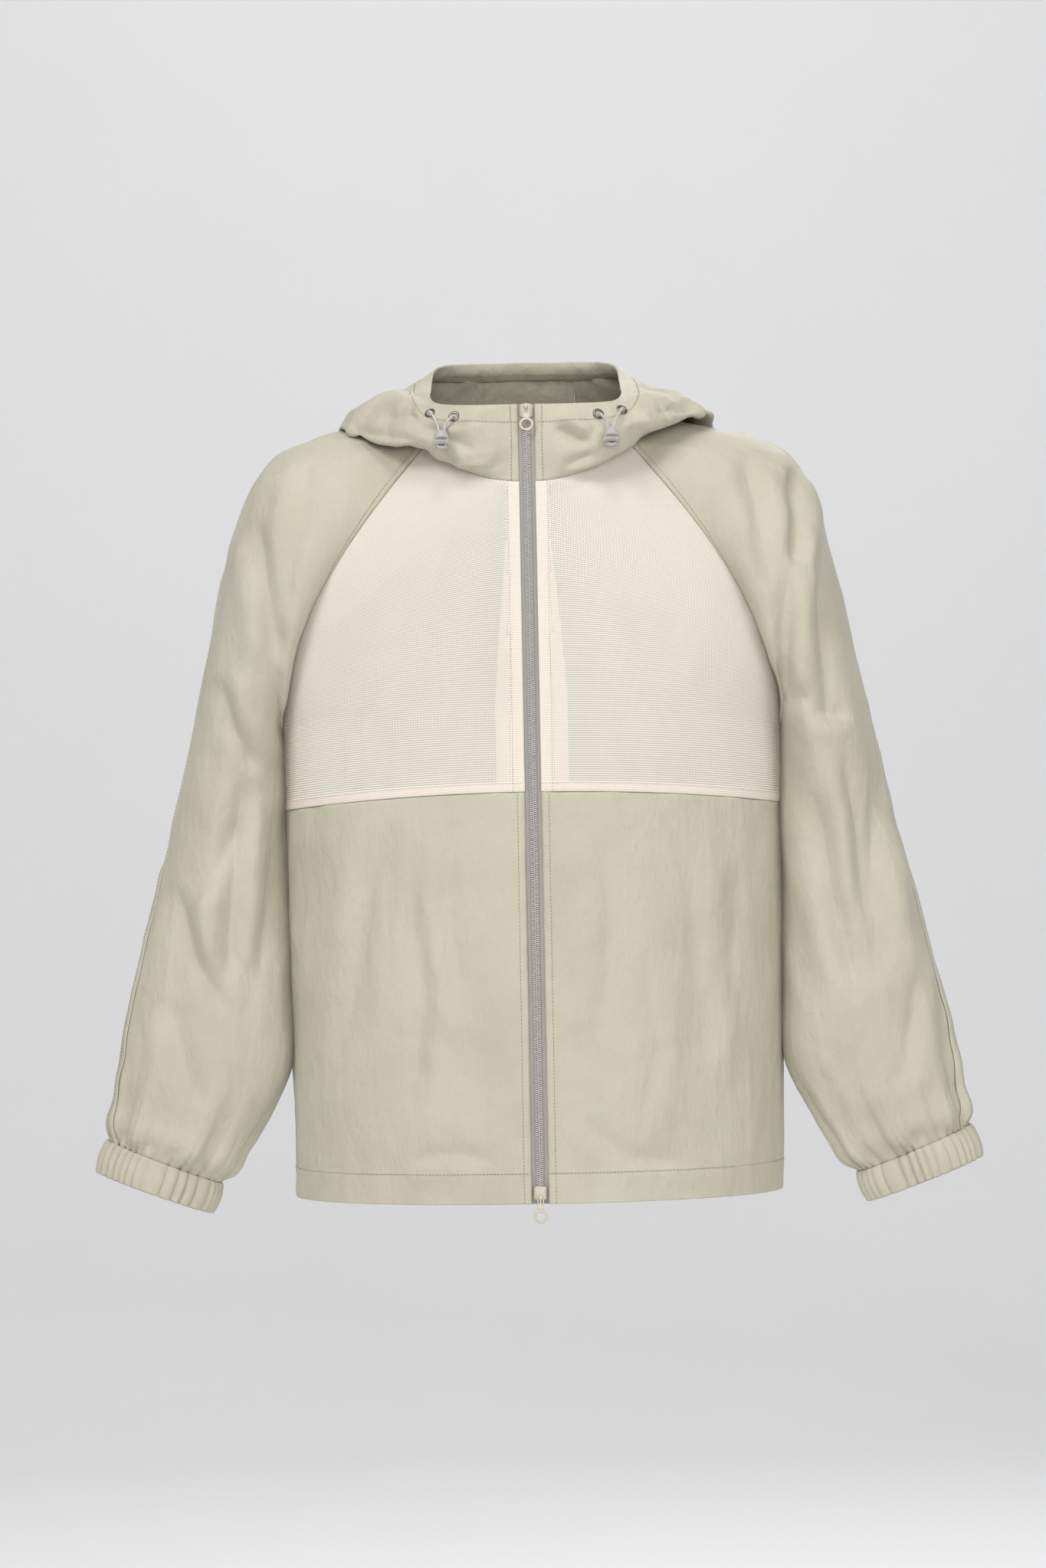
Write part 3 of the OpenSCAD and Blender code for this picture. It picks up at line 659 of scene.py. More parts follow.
def cloudy_plastic():
    f = Finish(
        "cloudy grey plastic", roughness=0.38, transmission_weight=0.25, specular_ior_level=0.5,
        subsurface_weight=0.35, subsurface_scale=0.003, coat_weight=0.1,
    )
    spot = f.place()
    swirl = f.cloud(spot, 300, 2)
    f.set("Base Color", f.blend(swirl, tone(176, 176, 172), tone(208, 208, 202)))
    f.set("Roughness", 0.32 + swirl * 0.15)
    f.bump((f.cloud(spot, 2200, 2), 0.00004))
    return f.material


def sewing_thread(name, base, light):
    f = Finish(name, roughness=0.6, sheen_weight=0.3, specular_ior_level=0.3)
    spot = f.place()
    twist = (f.part(spot, "X") * 9000 + f.part(spot, "Z") * 11000).of("SINE")
    f.set("Base Color", f.blend(twist * 0.5 + 0.5, base, light))
    f.bump((twist, 0.00004))
    return f.material


SHELL = nylon(
    "khaki nylon", tone(188, 184, 165), tone(179, 174, 155), tone(194, 191, 173), tone(188, 179, 159),
)
MESH = chest_mesh()
FACING = knit_facing()
LINING = pocket_lining()
TAPE = zip_tape()
COIL = coil_nylon()
ENAMEL = enamel("khaki enamel", tone(196, 190, 170), tone(176, 169, 150))
NICKEL = dark_nickel()
CORD = braided_cord()
PLASTIC = cloudy_plastic()
# Painted shade: the khaki thread is much darker than the shell cloth it matches, standing in for the shaded
# stitch holes.
SHADED_KHAKI_THREAD = sewing_thread("khaki thread with painted shade", tone(112, 106, 86), tone(150, 144, 122))
# Painted shade: the cream thread is darker than the pale mesh, standing in for the shaded stitch holes.
SHADED_CREAM_THREAD = sewing_thread("cream thread with painted shade", tone(160, 148, 134), tone(206, 196, 182))


# Making pieces


def finished(bm, name, finish, body, stands_for=()):
    """Turns a bmesh, in the garment's frame, into a piece in the part's frame."""
    bmesh.ops.translate(bm, verts=bm.verts, vec=Vector(-HOOK_SEAT))
    mesh = bpy.data.meshes.new(name)
    bm.to_mesh(mesh)
    bm.free()
    mesh.shade_smooth()
    mesh.materials.append(finish)
    piece = bpy.data.objects.new(name, mesh)
    bpy.context.collection.objects.link(piece)
    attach(piece, body)
    if stands_for:
        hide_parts(*stands_for)
    return piece


def applied(piece, kind, **settings):
    """Adds a modifier and makes its result the piece's own mesh."""
    modifier = piece.modifiers.new(kind.lower(), kind)
    for key, value in settings.items():
        setattr(modifier, key, value)
    graph = bpy.context.evaluated_depsgraph_get()
    baked = bpy.data.meshes.new_from_object(
        piece.evaluated_get(graph), preserve_all_data_layers=True, depsgraph=graph,
    )
    piece.modifiers.clear()
    old = piece.data
    piece.data = baked
    bpy.data.meshes.remove(old)
    return piece


class Panel:
    """A cut of cloth as a grid of points with its normals and its distances along rows and columns."""

    def __init__(self, points, closed=False):
        self.points = points
        self.normals = outward(points, closed)
        self.closed = closed
        self.measure()

    def measure(self):
        across = np.linalg.norm(np.diff(self.points, axis=1), axis=2)
        up = np.linalg.norm(np.diff(self.points, axis=0), axis=2)
        rows, columns = self.points.shape[:2]
        self.across = np.concatenate([np.zeros((rows, 1)), np.cumsum(across, axis=1)], axis=1)
        self.up = np.concatenate([np.zeros((1, columns)), np.cumsum(up, axis=0)], axis=0)
        self.gaps = {
            "left": self.across, "right": self.across[:, -1:] - self.across,
            "bottom": self.up, "top": self.up[-1:] - self.up,
        }

    def raise_by(self, height):
        self.points = self.points + self.normals * height[..., None]
        self.normals = outward(self.points, self.closed)

    def line(self, edge, distance, start, end):
        """The line at a distance from one edge, with its normals."""
        gap, points, normals = self.gaps[edge], self.points, self.normals
        if edge in ("bottom", "top"):
            gap, points, normals = gap.T, points.transpose(1, 0, 2), normals.transpose(1, 0, 2)
        if edge in ("right", "top"):
            gap, points, normals = gap[:, ::-1], points[:, ::-1], normals[:, ::-1]
        rows = range(int(start * (len(gap) - 1)), int(round(end * (len(gap) - 1))) + 1)
        place, facing = (
            np.array([[np.interp(distance, gap[r], values[r, :, k]) for k in range(3)] for r in rows])
            for values in (points, normals)
        )
        return place, facing / np.linalg.norm(facing, axis=1, keepdims=True)

    def stitch(self, edge, distance, thread="khaki", start=0.0, end=1.0):
        STITCHES[thread].append(self.line(edge, distance, start, end))

    def piece(self, name, finish, stands_for, slot="shell", thickness=SHELL_T, seam=None, doubled=None):
        rows, columns = self.points.shape[:2]
        bm = bmesh.new()
        cut = bm.loops.layers.uv.new("cut")
        seams = bm.verts.layers.float.new("seam")
        doubles = bm.verts.layers.float.new("doubled")
        bmesh.ops.create_grid(bm, x_segments=columns - 1, y_segments=rows - 1, size=0.5)
        seam = np.full((rows, columns), 1.0) if seam is None else seam
        doubled = np.zeros((rows, columns)) if doubled is None else doubled
        for vert in bm.verts:
            i, j = round((vert.co.x + 0.5) * (columns - 1)), round((vert.co.y + 0.5) * (rows - 1))
            vert.index = j * columns + i
            vert[seams] = seam[j, i]
            vert[doubles] = doubled[j, i]
        flat = self.points.reshape(-1, 3)
        across, up = self.across.ravel(), self.up.ravel()
        for face in bm.faces:
            for loop in face.loops:
                k = loop.vert.index
                loop[cut].uv = (across[k], up[k])
        for vert in bm.verts:
            vert.co = flat[vert.index]
        if self.closed:
            bmesh.ops.remove_doubles(bm, verts=bm.verts, dist=1e-5)
        piece = finished(bm, name, finish, "garment", stands_for)
        return applied(piece, "SOLIDIFY", thickness=thickness, offset=-1.0, use_even_offset=False)


def grid_panel(surface, columns, rows, flip=False, closed=False):
    """A panel from surface(u, v); flip mirrors it to the left side of the jacket."""
    u, v = np.meshgrid(columns[::-1] if flip else columns, rows)
    points = surface(u.ravel(), v.ravel()).reshape(len(rows), len(columns), 3)
    if flip:
        points = points * np.array([-1, 1, 1])
    return Panel(points, closed)


def stations(low, high, count, edge=0.004):
    """Even stations with two extra ones close to each end."""
    even = np.linspace(low, high, count)
    step = (even[1] - even[0]) * edge / 0.01
    return np.concatenate([[low, low + step], even[1:-1], [high - step, high]])


def seam_ridge(distance, allowance, height=0.0005):
    """Cloth lifted over a turned seam allowance, sunk at the seam itself."""
    sunk = np.exp(-((distance / 0.0008) ** 2))
    return turned_up(distance, allowance + 0.0015, height) - 0.0009 * sunk


def groove(panel, edge, depth):
    """The line where a seam pulls its two edges down."""
    return -depth * np.exp(-((panel.gaps[edge] / 0.001) ** 2))


def nearest(gaps, lines):
    """How far each point is from the nearest line of stitches, each so far in from its edge."""
    return np.minimum.reduce([np.abs(gaps[edge] - distance) for edge, distance in lines.items()])


def turned_up(distance, width, height):
    """The cloth lifted by one more layer out to width from its edge."""
    return height * smooth((width - distance) / 0.002)


def puckers(panel, edge, allowance, pitch, height, seed):
    """Small ripples that topstitching pulls up, across the seam."""
    gap = panel.gaps[edge]
    wave = lattice_noise(panel.points.reshape(-1, 3) / pitch, seed).reshape(gap.shape)
    return height * wave * np.exp(-(((gap - 0.5 * allowance) / (1.6 * allowance)) ** 2))


def bead():
    """A small ball that is stretched into one stitch or one leg of the coil."""
    bm = bmesh.new()
    bmesh.ops.create_icosphere(bm, subdivisions=1, radius=1)
    mesh = bpy.data.meshes.new("bead")
    bm.to_mesh(mesh)
    bm.free()
    return mesh


BEAD = bead()


def rounded_block(bm, size, place, round_off):
    """A block with every edge rounded."""
    made = bmesh.ops.create_cube(bm, size=1, matrix=place @ Matrix.Diagonal((*size, 1)))
    edges = list({e for v in made["verts"] for e in v.link_edges})
    bmesh.ops.bevel(
        bm, geom=edges, offset=round_off, segments=3, profile=0.5, affect="EDGES", material=-1,
    )


def spun(profile):
    """A profile of (radius, height) points turned once round Z."""
    bm = bmesh.new()
    verts = [bm.verts.new((r, 0, z)) for r, z in profile]
    edges = [bm.edges.new(pair) for pair in zip(verts, verts[1:])]
    bmesh.ops.spin(
        bm, geom=verts + edges, cent=(0, 0, 0), axis=(0, 0, 1), angle=2 * math.pi, steps=40, use_merge=True,
    )
    bmesh.ops.remove_doubles(bm, verts=bm.verts, dist=1e-6)
    bmesh.ops.recalc_face_normals(bm, faces=bm.faces)
    return bm


def add_bead(bm, matrix):
    BEAD.transform(matrix)
    bm.from_mesh(BEAD)
    BEAD.transform(matrix.inverted())


def stitched(name, lines, finish):
    """Lockstitches as short rounded threads along lines of points with normals."""
    pitch, length, width, lift = 0.0029, 0.002, 0.00055, 0.00022
    bm = bmesh.new()
    for points, normals in lines:
        run = np.concatenate([[0], np.cumsum(np.linalg.norm(np.diff(points, axis=0), axis=1))])
        for k in range(int(run[-1] / pitch)):
            a, b = (k + 0.5) * pitch - length / 2, (k + 0.5) * pitch + length / 2
            start = Vector([np.interp(a, run, points[:, c]) for c in range(3)])
            end = Vector([np.interp(b, run, points[:, c]) for c in range(3)])
            normal = Vector([np.interp((a + b) / 2, run, normals[:, c]) for c in range(3)]).normalized()
            along = (end - start).normalized()
            side = normal.cross(along).normalized()
            turn = Matrix((side, along, normal)).transposed().to_4x4()
            size = Matrix.Diagonal((width / 2, (end - start).length / 2, width / 2.6, 1))
            middle = Matrix.Translation((start + end) / 2 + normal * lift)
            add_bead(bm, middle @ turn @ size)
    return finished(bm, name, finish, "garment")


def tube(name, path, diameter, finish, body, stands_for=(), sides=16):
    """A round cord along a path, with its own cut map: round it and along it."""
    path = np.array(path)
    run = np.concatenate([[0], np.cumsum(np.linalg.norm(np.diff(path, axis=0), axis=1))])
    tangent = np.gradient(path, axis=0)
    tangent /= np.linalg.norm(tangent, axis=1, keepdims=True)
    side = np.cross(tangent[0], [0.3, 0.5, 1.0])
    points = np.empty((len(path), sides + 1, 3))
    for k, (p, t) in enumerate(zip(path, tangent)):
        side = side - t * (side @ t)
        side /= np.linalg.norm(side)
        other = np.cross(t, side)
        for m in range(sides + 1):
            turn = 2 * math.pi * m / sides
            points[k, m] = p + diameter / 2 * (math.cos(turn) * side + math.sin(turn) * other)
    bm = bmesh.new()
    cut = bm.loops.layers.uv.new("cut")
    bmesh.ops.create_grid(bm, x_segments=sides, y_segments=len(path) - 1, size=0.5)
    for face in bm.faces:
        for loop in face.loops:
            j = round((loop.vert.co.y + 0.5) * (len(path) - 1))
            loop[cut].uv = (loop.vert.co.x + 0.5, run[j])
    for vert in bm.verts:
        i, j = round((vert.co.x + 0.5) * sides), round((vert.co.y + 0.5) * (len(path) - 1))
        vert.co = points[j, i]
    bmesh.ops.remove_doubles(bm, verts=bm.verts, dist=diameter / 200)
    ends = [e for e in bm.edges if e.is_boundary]
    bmesh.ops.holes_fill(bm, edges=ends)
    bmesh.ops.recalc_face_normals(bm, faces=bm.faces)
    return finished(bm, name, finish, body, stands_for)


# Camera, light and room


def studio():
    scene = bpy.context.scene
    lens = bpy.data.cameras.new("camera")
    lens.sensor_width = 36
    lens.lens = 111.66
    lens.clip_end = 30
    scene.view_settings.view_transform = "Standard"
    camera = bpy.data.objects.new("camera", lens)
    scene.collection.objects.link(camera)
    camera.location = (-0.0079, -4.0 - HOOK_SEAT[1], 0.3345 - HOOK_SEAT[2])
    camera.rotation_euler = (math.radians(90), math.radians(1.05), 0)
    scene.camera = camera

    world = bpy.data.worlds.new("soft room")
    scene.world = world
    world.use_nodes = True
    world.node_tree.nodes["Background"].inputs[0].default_value = (1.0, 1.0, 1.0, 1)
    world.node_tree.nodes["Background"].inputs[1].default_value = 0.33

    for name, place, aim, size, watts in (
        ("key", (-1.9, -2.8, 2.7), (0, 0, -0.2), 1.4, 94),
        ("fill", (2.6, -2.6, 0.9), (0, 0, -0.25), 2.0, 34),
        ("front", (0.2, -4.6, 0.5), (0, 0, -0.2), 1.4, 52),
        ("top", (0.1, -1.3, 2.0), (0, 0.05, 0), 0.6, 14),
        ("behind", (0.9, 3.2, 1.8), (0, 0, -0.2), 1.4, 50),
        ("wall", (0, 2.4, 3.4), (0, 6.2, -0.5), 3.0, 75),
    ):
        lamp = bpy.data.lights.new(name, "AREA")
        lamp.size = size
        lamp.energy = watts
        light = bpy.data.objects.new(name, lamp)
        scene.collection.objects.link(light)
        light.location = place
        light.rotation_euler = (Vector(aim) - Vector(place)).to_track_quat("-Z", "Y").to_euler()

    paper = Finish("pale paper", roughness=0.95, specular_ior_level=0.1)
    patches = paper.cloud(paper.place(), 3)
    paper.set("Base Color", paper.blend(patches, tone(237, 237, 238), tone(239, 239, 240)))
    bm = bmesh.new()
    bmesh.ops.create_grid(bm, x_segments=4, y_segments=60, size=0.5)
    for vert in bm.verts:
        run = vert.co.y + 0.5
        bend = np.clip((run - 0.45) / 0.2, 0, 1) * math.pi / 2
        flat = min(run, 0.45) * 25 - 6.5
        wall = max(run - 0.65, 0) * 16
        vert.co = (vert.co.x * 18, flat + 1.5 * math.sin(bend), FLOOR_H + 1.5 * (1 - math.cos(bend)) + wall)
    mesh = bpy.data.meshes.new("floor")
    bm.to_mesh(mesh)
    bm.free()
    mesh.shade_smooth()
    mesh.materials.append(paper.material)
    floor = bpy.data.objects.new("floor", mesh)
    scene.collection.objects.link(floor)


# Cords and their stoppers


def mirrored(points, flip):
    return np.array(points) * np.array([-1 if flip else 1, 1, 1])


def bell_stopper(side, flip):
    """A moulded bell with one wide slot: a profile spun, then cut through by a rounded slot."""
    bm = spun([
        (0.0, 0.0065), (0.0024, 0.0064), (0.0042, 0.0056), (0.0054, 0.0038), (0.0059, 0.0012),
        (0.0061, -0.0016), (0.0066, -0.0026), (0.0070, -0.0036), (0.0070, -0.0054), (0.0066, -0.0064),
        (0.0056, -0.0065), (0.0, -0.0065),
    ])
    cutter_bm = bmesh.new()
    bmesh.ops.create_cube(cutter_bm, size=1, matrix=Matrix.Diagonal((0.0104, 0.0027, 0.03, 1)))
    upright = [e for e in cutter_bm.edges if abs(e.verts[0].co.z - e.verts[1].co.z) > 0.01]
    bmesh.ops.bevel(
        cutter_bm, geom=upright, offset=0.0013, segments=5, profile=0.5, affect="EDGES", material=-1,
    )
    notch = Matrix.Translation((0, -0.0056, -0.0042)) @ Matrix.Diagonal((0.0094, 0.0046, 0.0036, 1))
    lower = bmesh.ops.create_cube(cutter_bm, size=1, matrix=notch)
    near = set(lower["verts"])
    bmesh.ops.bevel(
        cutter_bm, geom=[e for e in cutter_bm.edges if e.verts[0] in near and e.verts[1] in near],
        offset=0.0008, segments=3, profile=0.5, affect="EDGES", material=-1,
    )
    centre = Vector(mirrored([STOPPER_CENTRE], flip)[0])
    tilt = Matrix.Translation(centre) @ Matrix.Rotation(-STOPPER_TILT, 4, "X")
    bmesh.ops.transform(bm, matrix=tilt, verts=bm.verts)
    bmesh.ops.transform(cutter_bm, matrix=tilt, verts=cutter_bm.verts)
    bmesh.ops.translate(cutter_bm, verts=cutter_bm.verts, vec=Vector(-HOOK_SEAT))
    cutter_mesh = bpy.data.meshes.new("slot")
    cutter_bm.to_mesh(cutter_mesh)
    cutter_bm.free()
    cutter = bpy.data.objects.new("slot", cutter_mesh)
    bpy.context.collection.objects.link(cutter)
    name = f"{side}_cord_stopper"
    piece = finished(bm, f"{side} bell stopper".replace(" ", "_"), PLASTIC, name, [name])
    applied(piece, "BOOLEAN", operation="DIFFERENCE", solver="EXACT", object=cutter)
    bpy.data.objects.remove(cutter)
    bpy.data.meshes.remove(cutter_mesh)
    applied(piece, "BEVEL", width=0.00022, segments=2, limit_method="ANGLE", angle_limit=math.radians(40))
    return piece


def cords():
    for side, flip in SIDES:
        t = np.linspace(0, len(CORD_ROUTE) - 1, 121)
        path = mirrored(through(CORD_ROUTE, t), flip)
        loop = tube(f"{side}_elastic_cord", path, CORD_D, CORD, "garment", [f"{side}_cord_loop"])
        stopper = bell_stopper(side, flip)
        length = float(np.linalg.norm(np.diff(path, axis=0), axis=1).sum())


studio()
cords()


# Body panels


def creased(panel, amount, seed, folds=(), stretch=(1, 1, 1.8)):
    """The height of a panel's wrinkles at each of its points."""
    shape = panel.points.shape[:2]
    p = panel.points.reshape(-1, 3)
    height = amount * crinkle(p, seed, 0.045, stretch) + 0.35 * amount * crinkle(p, seed + 20, 0.02, stretch)
    height = height.reshape(shape)
    if folds:
        height = height + fold_lines(p, folds).reshape(shape) * away_from_sides(panel)
    return height


def away_from_sides(panel, reach=0.012):
    return smooth(panel.gaps["left"] / reach) * smooth(panel.gaps["right"] / reach)


def held(panel, edges, reach=0.02):
    """0 at the named edges and 1 away from them, where the cloth is free to wrinkle."""
    free = np.ones(panel.points.shape[:2])
    for edge in edges:
        free = free * smooth(panel.gaps[edge] / reach)
    return 0.15 + 0.85 * free


def mouth_share(z):
    t = np.clip((z - POCKET_LOW_H) / (POCKET_TOP_H - POCKET_LOW_H), 0, 1)
    return 0.06 * (1 - (2 * t - 1) ** 4) * (t > 0) * (t < 1)


def front_panels():
    for side, flip in SIDES:
        zip_side, seam_side = ("right", "left") if flip else ("left", "right")

        def surface(u, v):
            z = MESH_SIDE_H * np.clip(v, 0, 1) / MESH_V
            return front_point(u * (1 - mouth_share(z)), v)

        panel = grid_panel(surface, stations(0, 1, 86), stations(0, MESH_V, 140), flip)
        gaps = panel.gaps
        height = creased(panel, 0.0019, 11, FRONT_FOLDS, (1, 1, 3.0)) * held(panel, (zip_side, "top"), 0.03)
        height = height * (0.35 + 0.65 * smooth(gaps["bottom"] / 0.03))
        height += puckers(panel, "bottom", 0.02, 0.028, 0.0012, 31)
        height += puckers(panel, zip_side, 0.006, 0.012, 0.0006, 32)
        height += puckers(panel, "top", 0.006, 0.016, 0.0006, 33)
        panel.raise_by(CLOTH_LIFT + height)
        ridge = seam_ridge(gaps[zip_side], 0.006, 0.0004) + seam_ridge(gaps["top"], 0.003, 0.0)
        ridge += turned_up(gaps["bottom"], HEM_H + 0.001, 0.0005) + turned_up(gaps[seam_side], 0.007, 0.0006)
        panel.raise_by(ridge)
        seam = nearest(gaps, {zip_side: ZIP_STITCH, "bottom": HEM_H, seam_side: MOUTH_STITCH})
        piece = panel.piece(f"{side}_front", SHELL, [f"{side}_front_panel"], thickness=HEM_T, seam=seam)
        panel.stitch(zip_side, ZIP_STITCH)
        panel.stitch("bottom", HEM_H)
        panel.stitch(seam_side, MOUTH_STITCH, start=0.30, end=0.80)


def mesh_yokes():
    for side, flip in SIDES:
        zip_side, seam_side = ("right", "left") if flip else ("left", "right")
        panel = grid_panel(front_point, stations(0, 1, 90), stations(MESH_V, 1, 120), flip)
        height = creased(panel, 0.0008, 41) * held(panel, (zip_side, seam_side, "top", "bottom"), 0.03)
        panel.raise_by(CLOTH_LIFT + height)
        gaps = panel.gaps
        doubled = (gaps[zip_side] < STRIP_W).astype(float)
        panel.raise_by(
            turned_up(gaps["bottom"], 0.0085, 0.0004) + groove(panel, "bottom", 0.0006)
            + groove(panel, "top", 0.0006) + groove(panel, seam_side, 0.0008)
        )
        piece = panel.piece(
            f"{side}_chest_mesh", MESH, [f"{side}_mesh_yoke"], slot="mesh", thickness=0.00045,
            seam=gaps["bottom"], doubled=doubled,
        )
        panel.stitch("bottom", MESH_HEM_STITCH, "cream")
        panel.stitch(zip_side, MESH_ZIP_STITCH, "cream")


def back():
    panel = grid_panel(
        lambda u, v: sided(back_point(np.abs(u), v), u < 0), stations(1, -1, 150), stations(0, 1, 190),
    )
    height = creased(panel, 0.0022, 51, BACK_FOLDS) * held(panel, ("left", "right", "top"), 0.03)
    height += puckers(panel, "bottom", 0.02, 0.03, 0.0012, 34)
    panel.raise_by(CLOTH_LIFT + height)
    from_hem = panel.gaps["bottom"]
    panel.raise_by(turned_up(from_hem, HEM_H + 0.001, 0.0005))
    piece = panel.piece("back", SHELL, ["back_panel"], thickness=HEM_T, seam=np.abs(from_hem - HEM_H))
    panel.stitch("bottom", HEM_H)


def pleats(turn, flip):
    """Flat pleats between narrow creases, as an elastic draws them: about 0 on top, -1 in a crease."""
    turn = -turn if flip else turn
    phase = 17 * turn + 1.3 * np.sin(3 * turn + 0.7) + 0.9 * np.sin(7 * turn + 2.1)
    depth = 0.75 + 0.25 * np.sin(5 * turn + 1.1)
    return depth * (np.abs(np.sin(phase)) ** 0.5 - 1)


def gathers(turn, from_cuff, flip):
    """The pleats fade up the arm into fewer, longer folds, and the sleeve blouses over the cuff."""
    around = -turn if flip else turn
    long = 0.8 * np.sin(9 * around + 1.3 + np.sin(2 * around)) + 0.6 * np.sin(14 * around + 0.4)
    blouse = np.exp(-(((from_cuff - 0.018) / 0.012) ** 2))
    fade = np.exp(-from_cuff / 0.055) * smooth(from_cuff / 0.012)
    return 0.004 * pleats(turn, flip) * np.exp(-from_cuff / 0.024) + 0.0036 * long * fade + 0.0035 * blouse


def sleeves():
    for side, flip in SIDES:
        folds = LEFT_SLEEVE_FOLDS if flip else RIGHT_SLEEVE_FOLDS
        for part in ("front", "back"):

            def surface(t, along):
                last = overarm(along)
                return sleeve_point(along, t * last if part == "front" else mix(last, 2 * math.pi, t))

            columns = stations(0, 1, 128)
            rows = stations(LAST_RING, 0, 250)
            panel = grid_panel(surface, columns, rows, flip)
            t, along = np.meshgrid(columns[::-1] if flip else columns, rows)
            last = overarm(along)
            turn = t * last if part == "front" else mix(last, 2 * math.pi, t)
            arm_side = "right" if (part == "front") != flip else "left"
            gaps = panel.gaps
            lines_laid = folds if part == "front" else SLEEVE_BACK_FOLDS
            height = creased(panel, 0.0021, 61 if flip else 71, lines_laid, (1, 1, 2.8))
            height = height * held(panel, ("top",), 0.04)
            fade = smooth(gaps["bottom"] / 0.04)
            height = height * (0.2 + 0.8 * fade) + gathers(turn, gaps["bottom"], flip)
            inner_side = np.exp(-((np.minimum(turn, 2 * math.pi - turn) / 0.6) ** 2))
            height += 0.0024 * inner_side * smooth(along - 1.5) * smooth(6.6 - along)
            height += puckers(panel, arm_side, 0.006, 0.02, 0.0012, 35)
            panel.raise_by(CLOTH_LIFT + height)
            ridge = seam_ridge(gaps["top"], 0.006, 0.0004)
            if part == "back":
                ridge += seam_ridge(gaps[arm_side], 0.0066, 0.0007)
            else:
                ridge += groove(panel, arm_side, 0.0008)
            panel.raise_by(ridge)
            lines = {"top": SEAM_STITCH}
            if part == "back":
                lines[arm_side] = SEAM_STITCH
                panel.stitch(arm_side, SEAM_STITCH, end=0.98)
            panel.stitch("top", SEAM_STITCH)
            piece = panel.piece(
                f"{side}_arm_{part}", SHELL, [f"{side}_sleeve_{part}"], thickness=SEAM_T,
                seam=nearest(gaps, lines),
            )


def cuffs():
    for side, flip in SIDES:
        turns = np.linspace(0, 2 * math.pi, 441)

        def surface(turn, step):
            down = np.clip(step, 0, 1)
            inner = np.clip(step - 1, 0, 1)
            return cuff_point(down - inner * 0.95, turn)

        # Up from the inside, round the fold at the wrist and up the outside
        steps = np.concatenate([np.linspace(1.9, 1.0, 12)[:-1], np.linspace(1.0, 0.0, 26)])
        panel = grid_panel(surface, turns, steps, flip, closed=True)
        turn, step = np.meshgrid(turns[::-1] if flip else turns, steps)
        inside = np.clip(step - 1, 0, 1)
        down = np.clip(step, 0, 1) - inside
        ease = np.sin(np.clip(down, 0, 1) * math.pi) ** 0.6
        pleat = 0.0042 * pleats(turn, flip)
        outside = 0.0026 + 0.0026 * ease + pleat * (0.8 + 0.3 * ease)
        within = -0.0022 - 0.0006 * ease + pleat * 0.3
        lift = mix(outside, within, smooth(inside / 0.12))
        opposite = np.array([0.0, math.pi])
        mouth, wrist = (surface(opposite, np.full(2, s)).mean(axis=0) for s in (0.0, 1.0))
        axis = (wrist - mouth) * np.array([-1 if flip else 1, 1, 1])
        axis /= np.linalg.norm(axis)
        around = panel.points - (panel.points.mean(axis=1, keepdims=True))
        around -= axis * (around @ axis)[..., None]
        around /= np.linalg.norm(around, axis=2, keepdims=True)
        panel.points = panel.points + around * lift[..., None]
        drop = 0.0012 * np.exp(-((down - 1) / 0.1) ** 2) + 0.25 * pleat * (down > 0.9)
        panel.points = panel.points + axis * drop[..., None]
        panel.measure()
        piece = panel.piece(f"{side}_elastic_cuff", SHELL, [f"{side}_cuff", f"{side}_cuff_elastic"])


front_panels()
mesh_yokes()
back()
sleeves()
cuffs()


# Hood


def near_eyelets(points, flip):
    """0 beside an eyelet, which holds the cloth flat, and 1 away from it."""
    calm = np.ones(points.shape[:2])
    for station in (INNER_EYELET, OUTER_EYELET):
        s = np.array([station])
        centre = mirrored(hood_point(s, below_rim(s, EYELET_DROP)), flip)
        calm = calm * smooth((np.linalg.norm(points - centre, axis=2) - 0.005) / 0.012)
    return calm


def hood():
    for side, flip in SIDES:
        columns = stations(0, GUSSET_STATION, 170)
        rows = stations(0, 4, 110)
        sag = LEFT_SAG if flip else RIGHT_SAG
        panel = grid_panel(lambda s, v: hood_point(s, v, sag), columns, rows, flip)
        s, v = np.meshgrid(columns[::-1] if flip else columns, rows)
        gaps = panel.gaps
        zip_side, gusset_side = ("right", "left") if flip else ("left", "right")
        folds = LEFT_HOOD_FOLDS if flip else RIGHT_HOOD_FOLDS
        height = creased(panel, 0.0036, 81 if flip else 91, folds, (1, 1, 0.8))
        height = height * held(panel, ("top", "bottom", zip_side), 0.02) * smooth(s / 1.2 + 0.15)
        height = height * near_eyelets(panel.points, flip)
        panel.raise_by(CLOTH_LIFT + height)
        panel.raise_by(
            seam_ridge(gaps[gusset_side], 0.006, 0.0005) + seam_ridge(gaps[zip_side], 0.006, 0.0004)
            + groove(panel, "bottom", 0.0008)
        )
        lines = {gusset_side: SEAM_STITCH, "top": RIM_STITCH, zip_side: ZIP_STITCH}
        piece = panel.piece(
            f"{side}_hood_side", SHELL, [f"hood_{side}"], thickness=SEAM_T, seam=nearest(gaps, lines),
        )
        for edge, distance in lines.items():
            panel.stitch(edge, distance)

    panel = grid_panel(
        lambda s, v: sided(hood_point(HOOD_LAST - np.abs(s), v), s > 0),
        stations(-1, 1, 40), stations(0, 4, 110),
    )
    height = creased(panel, 0.0026, 101, (), (1, 1, 0.8))
    height = height * held(panel, ("top", "bottom", "left", "right"), 0.02)
    panel.raise_by(CLOTH_LIFT + height)
    gaps = panel.gaps
    panel.raise_by(
        seam_ridge(gaps["left"], 0.006, 0.0005) + seam_ridge(gaps["right"], 0.006, 0.0005)
    )
    lines = {"left": SEAM_STITCH, "right": SEAM_STITCH, "top": RIM_STITCH}
    piece = panel.piece("hood_gusset", SHELL, ["hood_centre"], thickness=SEAM_T, seam=nearest(gaps, lines))
    for edge, distance in lines.items():
        panel.stitch(edge, distance)


